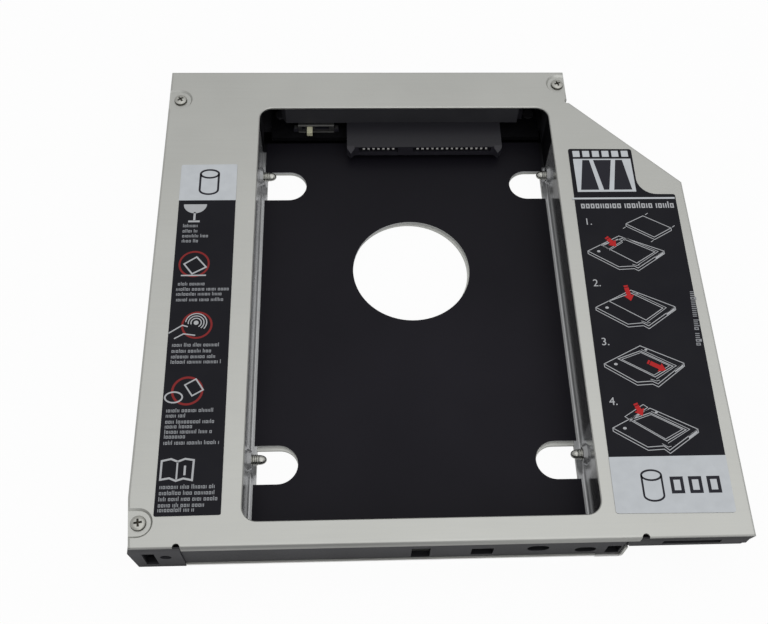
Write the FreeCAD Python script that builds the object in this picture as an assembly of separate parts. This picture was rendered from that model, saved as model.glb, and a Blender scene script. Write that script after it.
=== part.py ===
import FreeCAD, Part
import math
import os

from FreeCAD import Vector

# Laptop drive caddy for a 12.7 mm slim optical bay, which takes a 2.5 inch drive from above.
# Millimetres. While a piece is modelled, x runs from the left side, y from the front face
# and z from the underside. Every piece is then moved so that the origin is the middle of
# the underside.

# Overall form, seen from above: a rectangle with its rear right corner cut away
WIDTH = 128.0
DEPTH = 126.1
HEIGHT = 12.7
NOTCH_LENGTH = 10.1
CHAMFER_LENGTH = 26.2
OVERHANG_HEIGHT = 5.5
STEP_SETBACK = 0.5
CORNER_TAPER = 1.0
CORNER_LENGTH = 10.8

# Stock and clearances
SHEET = 0.6
BEND = 0.6
FILM = 0.2
MOULD_WALL = 1.6
RIB = 1.2
CLEARANCE = 0.1

# Drive bay
BAY_LEFT = 23.2
BAY_WIDTH = 73.8
RIGHT_RAIL = 5.4
BAY_FRONT = 5.2
REAR_MARGIN = 12.2
WINDOW_RADIUS = 3.2
TRAY_END_GAP = 2.3
TRAY_BEND = 1.0
FILM_MARGIN = 0.9

# Where a 2.5 inch drive lies: two threaded holes in each side, at fixed shares of its length
DRIVE_END_ROOM = 8.7
DRIVE_REAR_GAP = 13.9
DRIVE_HOLE_SHARE = 0.14
DRIVE_PITCH_SHARE = 0.766
DRIVE_HOLE_RISE = 3.0
LEFT_PIN_REACH = 4.0
RIGHT_PIN_REACH = 3.3

# Set screws with a rounded point, and the bushes that they turn in
PIN_DIAMETER = 2.4
PIN_LENGTH = 6.4
PIN_POINT = 1.5
PIN_NOSE = 0.55
DIMPLE_BASE = 5.0
DIMPLE_TOP = 4.0
DIMPLE_HEIGHT = 0.8
BUSH_DIAMETER = 3.8
BUSH_LENGTH = 1.5
RUNNING_FIT = 0.05
WALL_HOLE = 3.0
DRIVER_HOLE = 3.4

# Openings in the floor
HOLE_X = 60.7
HOLE_SHARE = 0.57
HOLE_DIAMETER = 28.6
HOLE_SHIFT_X = -0.5
HOLE_SHIFT_Y = -0.4
SLOT_LEFT_LENGTHS = (9.1, 10.0)
SLOT_RIGHT_LENGTHS = (9.0, 8.4)
SLOT_FRONT_WIDTH = 9.1
SLOT_REAR_WIDTH = 8.9
SLOT_REAR_SHIFT = 0.65
SLOT_INSET = 1.5
SLOT_STEP = 0.9

# Folded front lip of the top cover and the round-ended bend reliefs beside it
LIP_DEPTH = 2.4
LIP_LEFT = 11.25
LIP_PAST_NOTCH = 2.1
RELIEF_WIDTH = 1.5
RELIEF_DEPTH = 0.9

# Front lip of the bottom cover
SILL_LEFT = 10.9
SILL_HEIGHT = 1.2

# Pressed recesses and pan head screws
RECESS_WIDTH = 5.3
RECESS_DEPTH = 0.5
RECESS_SLOPE = 0.45
SCREW_FRONT_Y = 5.3
SCREW_LEFT_REAR_GAP = 9.4
SCREW_RIGHT_REAR_GAP = 4.3
SCREW_SHANK = 1.9
SCREW_HEAD = 3.2
SCREW_HEAD_HEIGHT = 0.8
SCREW_LENGTH = 6.0
SCREW_PILOT = 1.7
POST_DIAMETER = 4.0

# Threaded holes in the rear face for the laptop's own bracket
BRACKET_HOLES = [14.0, 46.0]
BRACKET_HOLE = 1.6
BRACKET_HOLE_Z = 6.35

# Adapter board
BOARD_THICKNESS = 1.2
BOARD_HEIGHT = 2.0
BOARD_DEPTH = 11.7
BOARD_REAR_GAP = 2.5
BOARD_LEFT_GAP = 2.3
BOARD_RIGHT_GAP = 1.0
BOARD_PEG_INSET = 2.2
BOARD_PEG_GAP = 4.1
PEG_DIAMETER = 1.8
PEG_HEAD = 2.8
PEG_HEAD_HEIGHT = 0.6

# Drive socket, 22 contacts at the standard pitch
CONTACT_PITCH = 1.27
SOCKET_FIRST_INSET = 4.3
SOCKET_FIRST_COUNT = 7
SOCKET_SECOND_COUNT = 15
SOCKET_SKIP_COUNT = 5
SOCKET_LEFT_OF_MIDDLE = 14.9
SOCKET_WIDTH = 40.1
SOCKET_OVERHANG = 5.9
SOCKET_DEPTH = 8.2
SOCKET_HEIGHT = 3.3
SOCKET_ARM = 2.0
SOCKET_ARM_REACH = 1.0
SOCKET_ARM_SLOPE = 1.4
SOCKET_MOUTH = 1.8
SOCKET_LIP = 0.6
CONTACT_WIDTH = 0.55
CONTACT_THICKNESS = 0.25
CONTACT_RISE = 2.95
CONTACT_SETBACK = 0.05
CONTACT_TIP = 1.1
CONTACT_FOOT = 1.1

# Host plug at the rear edge, 13 contacts
PLUG_TO_BAY_RIGHT = 28.5
PLUG_WIDTH = 23.4
PLUG_HEIGHT = 4.2
PLUG_DEPTH = 8.0
PLUG_TONGUE = 1.2
PLUG_SHELL = 1.0
PLUG_FIRST_COUNT = 7
PLUG_SECOND_COUNT = 6
PLUG_SKIP_COUNT = 3
PLUG_PITCH = 1.0
PLUG_FIRST_INSET = 4.7

# Slide switch
SWITCH_TO_SOCKET = 3.4
SWITCH_WIDTH = 9.3
SWITCH_SETBACK = 1.8
SWITCH_DEPTH = 2.8
SWITCH_HEIGHT = 2.6
SWITCH_EAR = 1.2
SWITCH_SHELL = 0.25
LEVER_WIDTH = 1.4
LEVER_HEIGHT = 1.1
LEVER_REACH = 2.0
LEVER_INSET = 2.3
LEVER_BACK = 1.3
LEVER_TRAVEL = 4.2
SWITCH_BASE_HEIGHT = 0.95
SWITCH_EAR_DEPTH = 1.4
SLIDER_OVERLAP = 0.6

# Openings in the front face, left to right: left edge, width, lowest point, height
FRONT_SLOTS = [
    (3.0, 2.5, 1.8, 6.9),
    (57.8, 3.9, 1.7, 5.7),
    (70.3, 4.6, 2.5, 4.0),
    (98.8, 2.9, 1.9, 4.5),
]
FRONT_OVALS = [
    (6.4, 2.3, 5.2, 2.2),
    (81.9, 4.6, 4.2, 3.2),
    (92.1, 4.5, 2.8, 3.0),
]
OVERHANG_SLOT_FROM_RIGHT = 18.5
OVERHANG_SLOT_WIDTH = 12.1
OVERHANG_SLOT_Z = 8.4
OVERHANG_SLOT_HEIGHT = 1.7

# Moulded frame: corners at the front, ribs, and the bar above the adapter board
WALL_SETBACK = 0.35
CORNER_X = 0.3
CORNER_LEAN = 0.7
CORNER_BULGE_Z = 9.4
FOOT_HEIGHT = 1.5
OVERHANG_LEAN = 1.5
LEFT_RIB_SHARES = [0.10, 0.29, 0.48, 0.67, 0.86]
RIGHT_RIB_SHARES = [0.14, 0.53, 0.94]
FRONT_RIBS = [10.0, 38.0, 65.5, 79.0]
REAR_RIBS = [34.0, 58.0]
BAR_LEFT_GAP = 6.3
BAR_RIGHT_GAP = 7.2
BAR_SETBACK = 2.3
BAR_BOTTOM = 6.4
BAR_END_SLANT = 1.2
BAY_END_SETBACK = 1.8

# Adhesive label films on the top cover
LABEL_FILM = 0.1
LEFT_LABEL_X = 4.8
LEFT_LABEL_WIDTH = 13.5
LEFT_LABEL_FRONT = 6.5
LEFT_LABEL_REAR_GAP = 30.5
LEFT_LABEL_TURN = 0.5
RIGHT_LABEL_PAST_BAY = 2.7
RIGHT_LABEL_SIDE_GAP = 3.3
RIGHT_LABEL_FRONT = 5.2
RIGHT_LABEL_REAR_GAP = 26.0
RIGHT_LABEL_HEAD_SHARE = 0.64
RIGHT_LABEL_SHOULDER = 13.95
RIGHT_LABEL_TURN = -0.6
RIGHT_LABEL_CURVE_SHARE = 0.184

# Levels and places that follow from the sizes above
BAY_RIGHT = BAY_LEFT + BAY_WIDTH
NOTCH_X = BAY_RIGHT + RIGHT_RAIL
STEP_X = NOTCH_X + STEP_SETBACK
LIP_RIGHT = NOTCH_X + LIP_PAST_NOTCH
NOTCH_Y = DEPTH - NOTCH_LENGTH
CHAMFER_Y = NOTCH_Y - CHAMFER_LENGTH
COVER_UNDERSIDE = HEIGHT - SHEET
OVERHANG_Z = HEIGHT - OVERHANG_HEIGHT
SHELF_TOP = OVERHANG_Z + SHEET
TRAY_UNDERSIDE = SHEET
TRAY_FLOOR = TRAY_UNDERSIDE + SHEET
FILM_TOP = TRAY_FLOOR + FILM
BAY_REAR = DEPTH - REAR_MARGIN
TRAY_FRONT = BAY_FRONT - 2.0 * CLEARANCE
TRAY_REAR = BAY_REAR - TRAY_END_GAP
TRAY_LEFT = BAY_LEFT - SHEET
TRAY_RIGHT = BAY_RIGHT + SHEET
DRIVE_LENGTH = BAY_REAR - BAY_FRONT - DRIVE_END_ROOM
REAR_HOLE_Y = DEPTH - DRIVE_REAR_GAP - DRIVE_HOLE_SHARE * DRIVE_LENGTH
FRONT_HOLE_Y = REAR_HOLE_Y - DRIVE_PITCH_SHARE * DRIVE_LENGTH
PIN_Z = FILM_TOP + DRIVE_HOLE_RISE
HOLE_Y = HOLE_SHARE * DEPTH
SCREW_LEFT_REAR_Y = DEPTH - SCREW_LEFT_REAR_GAP
SCREW_RIGHT_REAR_Y = DEPTH - SCREW_RIGHT_REAR_GAP
BOARD_TOP = BOARD_HEIGHT + BOARD_THICKNESS
BOARD_LEFT = BAY_LEFT + BOARD_LEFT_GAP
BOARD_RIGHT = BAY_RIGHT - BOARD_RIGHT_GAP
BOARD_REAR = DEPTH - BOARD_REAR_GAP
BOARD_FRONT = BOARD_REAR - BOARD_DEPTH
BOARD_PEG_Y = BOARD_REAR - BOARD_PEG_GAP
SOCKET_LEFT = 0.5 * (BAY_LEFT + BAY_RIGHT) - SOCKET_LEFT_OF_MIDDLE
SOCKET_FIRST_X = SOCKET_LEFT + SOCKET_FIRST_INSET
SOCKET_FRONT = BOARD_FRONT - SOCKET_OVERHANG
PLUG_LEFT = BAY_RIGHT - PLUG_TO_BAY_RIGHT
PLUG_FIRST_X = PLUG_LEFT + PLUG_FIRST_INSET
SWITCH_LEFT = SOCKET_LEFT - SWITCH_TO_SOCKET - SWITCH_WIDTH
LEVER_X = SWITCH_LEFT + LEVER_INSET
BAR_LEFT = BAY_LEFT + BAR_LEFT_GAP
BAR_RIGHT = BAY_RIGHT - BAR_RIGHT_GAP
SWITCH_FRONT = BOARD_FRONT + SWITCH_SETBACK
BAR_FRONT = BOARD_FRONT + BAR_SETBACK
BAY_END_Y = BAR_FRONT + BAY_END_SETBACK
CONTACT_Z = BOARD_TOP + CONTACT_RISE
PLUG_TONGUE_TOP = BOARD_TOP + PLUG_SHELL + PLUG_TONGUE
LEVER_Z = BOARD_TOP + SWITCH_BASE_HEIGHT + RUNNING_FIT
FRAME_LEFT = SHEET + CLEARANCE
FRAME_REAR = DEPTH - SHEET - CLEARANCE
FRAME_BASE = SHEET
RECESS_FLOOR = HEIGHT - RECESS_DEPTH
POST_TOP = RECESS_FLOOR - SHEET
BEAM_REAR = BAY_FRONT - 6.0 * CLEARANCE
FRONT_RIGHT_X = WIDTH - CLEARANCE
LEFT_LABEL_LENGTH = DEPTH - LEFT_LABEL_REAR_GAP - LEFT_LABEL_FRONT
RIGHT_LABEL_LENGTH = DEPTH - RIGHT_LABEL_REAR_GAP - RIGHT_LABEL_FRONT
RIGHT_LABEL_X = BAY_RIGHT + RIGHT_LABEL_PAST_BAY
RIGHT_LABEL_WIDTH = WIDTH - RIGHT_LABEL_SIDE_GAP - RIGHT_LABEL_X

# Pressed recesses in the top cover: open side, screw's place along it, direction, reach and
# distance of the screw from the open side
RECESSES = [
    (0.0, SCREW_FRONT_Y, 1, 5.1, 2.6),
    (0.0, SCREW_LEFT_REAR_Y, 1, 5.5, 2.9),
    (NOTCH_X, SCREW_RIGHT_REAR_Y, -1, 4.5, 1.8),
]

# Name, bay wall, place along it, reach into the bay and side of each drive screw
DRIVE_SCREWS = [
    ("drive_screw_front_left", BAY_LEFT, FRONT_HOLE_Y, LEFT_PIN_REACH, 1),
    ("drive_screw_rear_left", BAY_LEFT, REAR_HOLE_Y, LEFT_PIN_REACH, 1),
    ("drive_screw_front_right", BAY_RIGHT, FRONT_HOLE_Y, RIGHT_PIN_REACH, -1),
    ("drive_screw_rear_right", BAY_RIGHT, REAR_HOLE_Y, RIGHT_PIN_REACH, -1),
]


# Plain shapes

def block(x0, x1, y0, y1, z0, z1):
    """Box between two corners."""
    return Part.makeBox(x1 - x0, y1 - y0, z1 - z0, Vector(x0, y0, z0))


def rod(x, y, z, diameter, length, direction):
    """Round bar from a point along a direction."""
    return Part.makeCylinder(diameter / 2.0, length, Vector(x, y, z), Vector(*direction))


def rounded_wire(corners, place):
    """Closed outline with a radius at each corner; corners are (u, v, radius)."""
    edges = []
    count = len(corners)
    starts = []
    ends = []
    middles = []
    for index in range(count):
        u, v, radius = corners[index]
        here = Vector(u, v, 0)
        before = Vector(corners[index - 1][0], corners[index - 1][1], 0).sub(here)
        after = Vector(corners[(index + 1) % count][0], corners[(index + 1) % count][1], 0).sub(here)
        before.normalize()
        after.normalize()
        half = before.getAngle(after) / 2.0
        if radius <= 0.0:
            starts.append(here)
            ends.append(here)
            middles.append(None)
            continue
        setback = radius / math.tan(half)
        to_centre = before.add(after)
        to_centre.normalize()
        starts.append(here.add(before.multiply(setback)))
        ends.append(here.add(after.multiply(setback)))
        reach = radius / math.sin(half) - radius
        middles.append(here.add(to_centre.multiply(reach)))
    for index in range(count):
        if middles[index] is not None:
            arc = Part.Arc(place(starts[index]), place(middles[index]), place(ends[index]))
            edges.append(arc.toShape())
        following = (index + 1) % count
        start = place(ends[index])
        end = place(starts[following])
        if start.distanceToPoint(end) > 1e-6:
            edges.append(Part.LineSegment(start, end).toShape())
    return Part.Wire(edges)


def slab(corners, z0, z1):
    """Flat plate with a rounded outline in plan."""
    wire = rounded_wire(corners, lambda p: Vector(p.x, p.y, z0))
    return Part.Face(wire).extrude(Vector(0, 0, z1 - z0))


def lengthwise(corners, y0, y1):
    """Section in x and z, drawn out from front to rear."""
    wire = rounded_wire(corners, lambda p: Vector(p.x, y0, p.y))
    return Part.Face(wire).extrude(Vector(0, y1 - y0, 0))


def rectangle(x0, x1, y0, y1, radius):
    """Corners of a rectangle with one radius."""
    return [(x0, y0, radius), (x1, y0, radius), (x1, y1, radius), (x0, y1, radius)]


def folded_section(path, thickness, bend):
    """Corners of a folded sheet: path is its outer face and the sheet lies to its left."""
    inner = []
    radii = []
    last = len(path) - 1
    for index, (u, v) in enumerate(path):
        sides = []
        if index > 0:
            sides.append((path[index][0] - path[index - 1][0], path[index][1] - path[index - 1][1]))
        if index < last:
            sides.append((path[index + 1][0] - path[index][0], path[index + 1][1] - path[index][1]))
        normals = []
        for du, dv in sides:
            length = math.hypot(du, dv)
            normals.append((-dv / length, du / length))
        offset_u = sum(n[0] for n in normals)
        offset_v = sum(n[1] for n in normals)
        share = thickness * len(normals) / (offset_u ** 2 + offset_v ** 2)
        inner.append((u + offset_u * share, v + offset_v * share))
        turn = 0.0
        if len(sides) == 2:
            turn = sides[0][0] * sides[1][1] - sides[0][1] * sides[1][0]
        radii.append(turn)
    tight = bend - thickness
    outer_corners = []
    inner_corners = []
    for index, turn in enumerate(radii):
        if turn == 0.0:
            pair = (0.0, 0.0)
        elif turn > 0.0:
            pair = (bend, tight)
        else:
            pair = (tight, bend)
        outer_corners.append((path[index][0], path[index][1], pair[0]))
        inner_corners.append((inner[index][0], inner[index][1], pair[1]))
    return outer_corners + inner_corners[::-1]


def joined(shapes):
    """One solid from pieces that touch or overlap."""
    body = shapes[0]
    if len(shapes) > 1:
        body = body.fuse(shapes[1:])
    return body.removeSplitter()


def inset_polygon(points, distances):
    """Polygon drawn counter-clockwise with each edge moved inwards by its own distance."""
    count = len(points)
    lines = []
    for index in range(count):
        ax, ay = points[index]
        bx, by = points[(index + 1) % count]
        length = math.hypot(bx - ax, by - ay)
        ux = (bx - ax) / length
        uy = (by - ay) / length
        distance = distances[index]
        lines.append((ax - uy * distance, ay + ux * distance, ux, uy))
    moved = []
    for index in range(count):
        px, py, ux, uy = lines[index - 1]
        qx, qy, vx, vy = lines[index]
        along = ((qx - px) * vy - (qy - py) * vx) / (ux * vy - uy * vx)
        moved.append((px + ux * along, py + uy * along))
    return moved


def sharp(points):
    """Corners with no radius."""
    return [(x, y, 0.0) for x, y in points]


def top_edges(solid, chosen):
    """Edges at the top of the part that a test picks by their bounds."""
    edges = []
    for edge in solid.Edges:
        box = edge.BoundBox
        if box.ZMin > HEIGHT - 1e-4 and chosen(box):
            edges.append(edge)
    return edges


def save(name, shape):
    """Moves a piece to the part's own origin and writes it."""
    placed = shape.copy()
    placed.translate(Vector(-WIDTH / 2.0, -DEPTH / 2.0, 0))
    placed.exportStep("parts/" + name + ".step")


# Outline of the caddy in plan, counter-clockwise from the front left corner
PLAN = [
    (CORNER_TAPER, 0.0),
    (WIDTH, 0.0),
    (WIDTH, CHAMFER_Y),
    (NOTCH_X, NOTCH_Y),
    (NOTCH_X, DEPTH),
    (0.0, DEPTH),
    (0.0, CORNER_LENGTH),
]


def recess_corners(recess, grow):
    """Plan of a pressed recess that runs in from one side and ends in a half circle."""
    open_x, y, side, reach, inset = recess
    half = RECESS_WIDTH / 2.0 + grow
    inner_x = open_x + side * (reach + grow)
    outer_x = open_x - side * grow
    low = min(inner_x, outer_x)
    high = max(inner_x, outer_x)
    round_end = half - 0.01
    left_radius = round_end if side < 0 else 0.0
    right_radius = round_end if side > 0 else 0.0
    return [
        (low, y - half, left_radius),
        (high, y - half, right_radius),
        (high, y + half, right_radius),
        (low, y + half, left_radius),
    ]


def recess_cutter(recess):
    """What the press pushes down: a flat floor with sloping sides."""
    floor = rounded_wire(recess_corners(recess, 0.0), lambda p: Vector(p.x, p.y, RECESS_FLOOR))
    rim = rounded_wire(recess_corners(recess, RECESS_SLOPE), lambda p: Vector(p.x, p.y, HEIGHT))
    sloped = Part.makeLoft([floor, rim], True, True)
    above = slab(recess_corners(recess, RECESS_SLOPE), HEIGHT, HEIGHT + SHEET)
    return sloped.fuse(above)


def screw_place(recess):
    """Plan position of the screw in a recess."""
    open_x, y, side, reach, inset = recess
    return open_x + side * inset, y


def slot_corners(wall_x, side, y, width, inset, length):
    """Plan of a floor slot with one round end, which starts beside a bay wall."""
    near = wall_x + side * inset
    far = near + side * length
    low = min(near, far)
    high = max(near, far)
    round_end = width / 2.0 - 0.01
    left_radius = round_end if side < 0 else 0.0
    right_radius = round_end if side > 0 else 0.0
    return [
        (low, y - width / 2.0, left_radius),
        (high, y - width / 2.0, right_radius),
        (high, y + width / 2.0, right_radius),
        (low, y + width / 2.0, left_radius),
    ]


def floor_slots(inset, z0, z1, step):
    """The four slots below the drive screws; step narrows the front pair from the rear."""
    slots = []
    for name, wall_x, y, reach, side in DRIVE_SCREWS:
        lengths = SLOT_LEFT_LENGTHS if side > 0 else SLOT_RIGHT_LENGTHS
        if y == FRONT_HOLE_Y:
            width = SLOT_FRONT_WIDTH - step
            middle = y - step / 2.0
            length = SLOT_INSET - inset + lengths[0]
        else:
            width = SLOT_REAR_WIDTH
            middle = y - SLOT_REAR_SHIFT
            length = SLOT_INSET - inset + lengths[1]
        slots.append(slab(slot_corners(wall_x, side, middle, width, inset, length), z0, z1))
    return slots


def top_cover():
    """Pressed aluminium upper case: flat top, folded sides, window and screw recesses."""
    tolerance = 0.01

    def folded_edge(box):
        return box.YMax > CORNER_LENGTH + tolerance

    outer = slab(sharp(PLAN), 0.0, HEIGHT)
    outer = outer.makeFillet(BEND, top_edges(outer, folded_edge))
    inner = slab(sharp(inset_polygon(PLAN, [SHEET] * len(PLAN))), -HEIGHT, COVER_UNDERSIDE)
    cover = outer.cut(inner)
    # The two front corners have no folded sides, and the lip is shallow
    cover = cover.cut(block(-SHEET, LIP_LEFT, -SHEET, CORNER_LENGTH, -SHEET, COVER_UNDERSIDE))
    cover = cover.cut(block(LIP_RIGHT, WIDTH + SHEET, -SHEET, CORNER_LENGTH, -SHEET, COVER_UNDERSIDE))
    cover = cover.cut(block(LIP_LEFT, LIP_RIGHT, -SHEET, 2 * SHEET, -SHEET, HEIGHT - LIP_DEPTH))
    corner = block(LIP_LEFT, LIP_RIGHT, -SHEET, BEND, HEIGHT - BEND, HEIGHT + SHEET)
    roller = rod(LIP_LEFT, BEND, HEIGHT - BEND, 2 * BEND, LIP_RIGHT - LIP_LEFT, (1, 0, 0))
    cover = cover.cut(corner.cut(roller))
    # The right side and the chamfer stop at the shelf
    cover = cover.cut(block(STEP_X, WIDTH + SHEET, CORNER_LENGTH - SHEET, NOTCH_Y - SHEET, -SHEET, SHELF_TOP))
    # Round-ended bend reliefs at both ends of the front lip, and one in the notch
    radius = RELIEF_WIDTH / 2.0
    for x in (LIP_LEFT - radius, LIP_RIGHT + radius):
        relief = block(x - radius, x + radius, -SHEET, RELIEF_DEPTH - radius, 0.0, HEIGHT + SHEET)
        end = rod(x, RELIEF_DEPTH - radius, 0.0, RELIEF_WIDTH, HEIGHT + SHEET, (0, 0, 1))
        cover = cover.cut(relief.fuse(end))
    cover = cover.cut(rod(NOTCH_X, NOTCH_Y, -SHEET, RELIEF_WIDTH, HEIGHT + 2 * SHEET, (0, 0, 1)))
    for recess in RECESSES:
        bulge = slab(recess_corners(recess, SHEET), POST_TOP, COVER_UNDERSIDE)
        cover = cover.fuse(bulge.common(slab(sharp(PLAN), 0.0, HEIGHT)))
    cover = cover.removeSplitter()
    window = rectangle(BAY_LEFT, BAY_RIGHT, BAY_FRONT, BAY_REAR, WINDOW_RADIUS)
    cover = cover.cut(slab(window, 0.0, 2 * HEIGHT))

    def window_edge(box):
        inside_x = box.XMin > BAY_LEFT - tolerance and box.XMax < BAY_RIGHT + tolerance
        inside_y = box.YMin > BAY_FRONT - tolerance and box.YMax < BAY_REAR + tolerance
        return inside_x and inside_y

    cover = cover.makeChamfer(SHEET / 3.0, top_edges(cover, window_edge))
    for recess in RECESSES:
        x, y = screw_place(recess)
        cover = cover.cut(recess_cutter(recess))
        cover = cover.cut(rod(x, y, 0.0, SCREW_SHANK + 2 * CLEARANCE, HEIGHT, (0, 0, 1)))
    # Driver holes in the left side, in line with the drive screws
    for y in (FRONT_HOLE_Y, REAR_HOLE_Y):
        cover = cover.cut(rod(-SHEET, y, PIN_Z, DRIVER_HOLE, 3 * SHEET, (1, 0, 0)))
    # Host plug opening and the pair of bracket holes in the rear side
    cover = cover.cut(plug_opening(DEPTH - 2 * SHEET, DEPTH + SHEET))
    for x in BRACKET_HOLES:
        cover = cover.cut(rod(x, DEPTH + SHEET, BRACKET_HOLE_Z, BRACKET_HOLE, 3 * SHEET, (0, -1, 0)))
    return cover


def plug_opening(y0, y1):
    """Space for the host plug through the rear side."""
    return block(PLUG_LEFT - CLEARANCE, PLUG_LEFT + PLUG_WIDTH + CLEARANCE, y0, y1,
                 BOARD_TOP - CLEARANCE, BOARD_TOP + PLUG_HEIGHT + CLEARANCE)


def bottom_cover():
    """Folded aluminium floor with the step and shelf below the overhang."""
    shelf_right = WIDTH - SHEET - CLEARANCE
    path = [(FRAME_LEFT, 0.0), (STEP_X, 0.0), (STEP_X, OVERHANG_Z), (shelf_right, OVERHANG_Z)]
    sheet = lengthwise(folded_section(path, SHEET, TRAY_BEND), 0.0, FRAME_REAR)
    plan = inset_polygon(PLAN, [SHEET + CLEARANCE] * len(PLAN))
    sheet = sheet.common(slab(sharp(plan), 0.0, HEIGHT).fuse(
        block(FRAME_LEFT, STEP_X, 0.0, CORNER_LENGTH, 0.0, OVERHANG_Z - TRAY_BEND)))
    behind_beam = BEAM_REAR + CLEARANCE
    # The moulded front stands on its own feet left and right of the sill
    step_inner = STEP_X - SHEET
    sheet = sheet.cut(block(0.0, SILL_LEFT, -1.0, behind_beam, -SHEET, 2 * SHEET))
    sheet = sheet.cut(block(step_inner, WIDTH, -1.0, behind_beam, OVERHANG_Z - TRAY_BEND, HEIGHT))
    # The sheet's front edge is folded up into the sill below the bay
    sill = block(SILL_LEFT, BAY_RIGHT, 0.0, SHEET, 0.0, SILL_HEIGHT)
    lower_edges = []
    for edge in sill.Edges:
        box = edge.BoundBox
        if box.YMax < 0.01 and box.ZMax < 0.01:
            lower_edges.append(edge)
    sill = sill.makeFillet(0.99 * SHEET, lower_edges)
    sheet = sheet.cut(block(SILL_LEFT, BAY_RIGHT, -1.0, SHEET, -SHEET, 2 * SHEET)).fuse(sill)
    hole_x = HOLE_X + HOLE_SHIFT_X
    sheet = sheet.cut(rod(hole_x, HOLE_Y + HOLE_SHIFT_Y, -SHEET, HOLE_DIAMETER, 3 * SHEET, (0, 0, 1)))
    for cutter in floor_slots(SLOT_INSET, -SHEET, 2 * SHEET, SLOT_STEP):
        sheet = sheet.cut(cutter)
    for y in (FRONT_HOLE_Y, REAR_HOLE_Y):
        sheet = sheet.cut(rod(STEP_X - 2 * SHEET, y, PIN_Z, DRIVER_HOLE, 3 * SHEET, (1, 0, 0)))
    return sheet


def drive_tray():
    """Folded aluminium trough that the drive lies in."""
    path = [(TRAY_LEFT, COVER_UNDERSIDE), (TRAY_LEFT, TRAY_UNDERSIDE),
            (TRAY_RIGHT, TRAY_UNDERSIDE), (TRAY_RIGHT, COVER_UNDERSIDE)]
    tray = lengthwise(folded_section(path, SHEET, TRAY_BEND), TRAY_FRONT, TRAY_REAR)
    tray = tray.cut(rod(HOLE_X, HOLE_Y, 0.0, HOLE_DIAMETER, HEIGHT, (0, 0, 1)))
    for cutter in floor_slots(SLOT_INSET, 0.0, FILM_TOP + SHEET, 0.0):
        tray = tray.cut(cutter)
    # Each drive screw comes through a dimple that is pressed into the wall
    base = DIMPLE_BASE / 2.0
    top = DIMPLE_TOP / 2.0
    for name, wall_x, y, reach, side in DRIVE_SCREWS:
        inward = Vector(side, 0, 0)
        dimple = Part.makeCone(base, top, DIMPLE_HEIGHT, Vector(wall_x, y, PIN_Z), inward)
        hollow = Part.makeCone(base, top, DIMPLE_HEIGHT, Vector(wall_x - side * SHEET, y, PIN_Z), inward)
        hole = rod(wall_x - side * 2 * SHEET, y, PIN_Z, WALL_HOLE, DIMPLE_HEIGHT + 4 * SHEET, (side, 0, 0))
        tray = tray.fuse(dimple).cut([hollow, hole])
    return tray


def floor_film():
    """Black insulating film on the tray floor."""
    film = block(BAY_LEFT + FILM_MARGIN, BAY_RIGHT - FILM_MARGIN,
                 TRAY_FRONT + CLEARANCE, TRAY_REAR - CLEARANCE, TRAY_FLOOR, FILM_TOP)
    film = film.cut(rod(HOLE_X, HOLE_Y, 0.0, HOLE_DIAMETER, HEIGHT, (0, 0, 1)))
    for cutter in floor_slots(FILM_MARGIN - CLEARANCE, 0.0, FILM_TOP + SHEET, 0.0):
        film = film.cut(cutter)
    return film


def screw_bush(wall_x, y, side):
    """Six-sided bush that sits in a dimple of a bay wall, from behind."""
    seat = wall_x + side * (DIMPLE_HEIGHT - SHEET)
    length = DIMPLE_HEIGHT + BUSH_LENGTH
    corners = []
    for step in range(7):
        turn = step * math.pi / 3.0
        radius = BUSH_DIAMETER / 2.0
        corners.append(Vector(seat, y + radius * math.cos(turn), PIN_Z + radius * math.sin(turn)))
    body = Part.Face(Part.makePolygon(corners)).extrude(Vector(-side * length, 0, 0))
    bore = rod(seat + side * SHEET, y, PIN_Z, PIN_DIAMETER + 2 * RUNNING_FIT,
               length + 2 * SHEET, (-side, 0, 0))
    return body.cut(bore)


def drive_screw(wall_x, y, reach, side):
    """Set screw with a blunt nose at the end that holds the drive."""
    radius = PIN_DIAMETER / 2.0
    tip = wall_x + side * reach
    inward = Vector(side, 0, 0)
    shank_start = Vector(tip - side * PIN_LENGTH, y, PIN_Z)
    shank_end = Vector(tip - side * PIN_POINT, y, PIN_Z)
    shank = Part.makeCylinder(radius, PIN_LENGTH - PIN_POINT, shank_start, inward)
    nose = Part.makeCone(radius, PIN_NOSE * radius, PIN_POINT, shank_end, inward)
    return joined([shank, nose])


def pan_screw(x, y, z, shank_end):
    """Small pan head screw: its head stands at one level and its shank ends at another."""
    half = SCREW_HEAD_HEIGHT / 2.0
    head = rod(x, y, z, SCREW_HEAD, half, (0, 0, 1))
    crown = Part.makeCone(SCREW_HEAD / 2.0, SCREW_HEAD / 2.0 - half, half, Vector(x, y, z + half))
    shank = rod(x, y, shank_end, SCREW_PILOT, z - shank_end, (0, 0, 1))
    return joined([head, crown, shank])


def frame_outline():
    """Outer edge of the moulded frame: flush at the front, behind the folded sides elsewhere."""
    gap = SHEET + CLEARANCE
    return inset_polygon(PLAN, [0.0, gap, gap, gap, gap, gap, gap])


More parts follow.
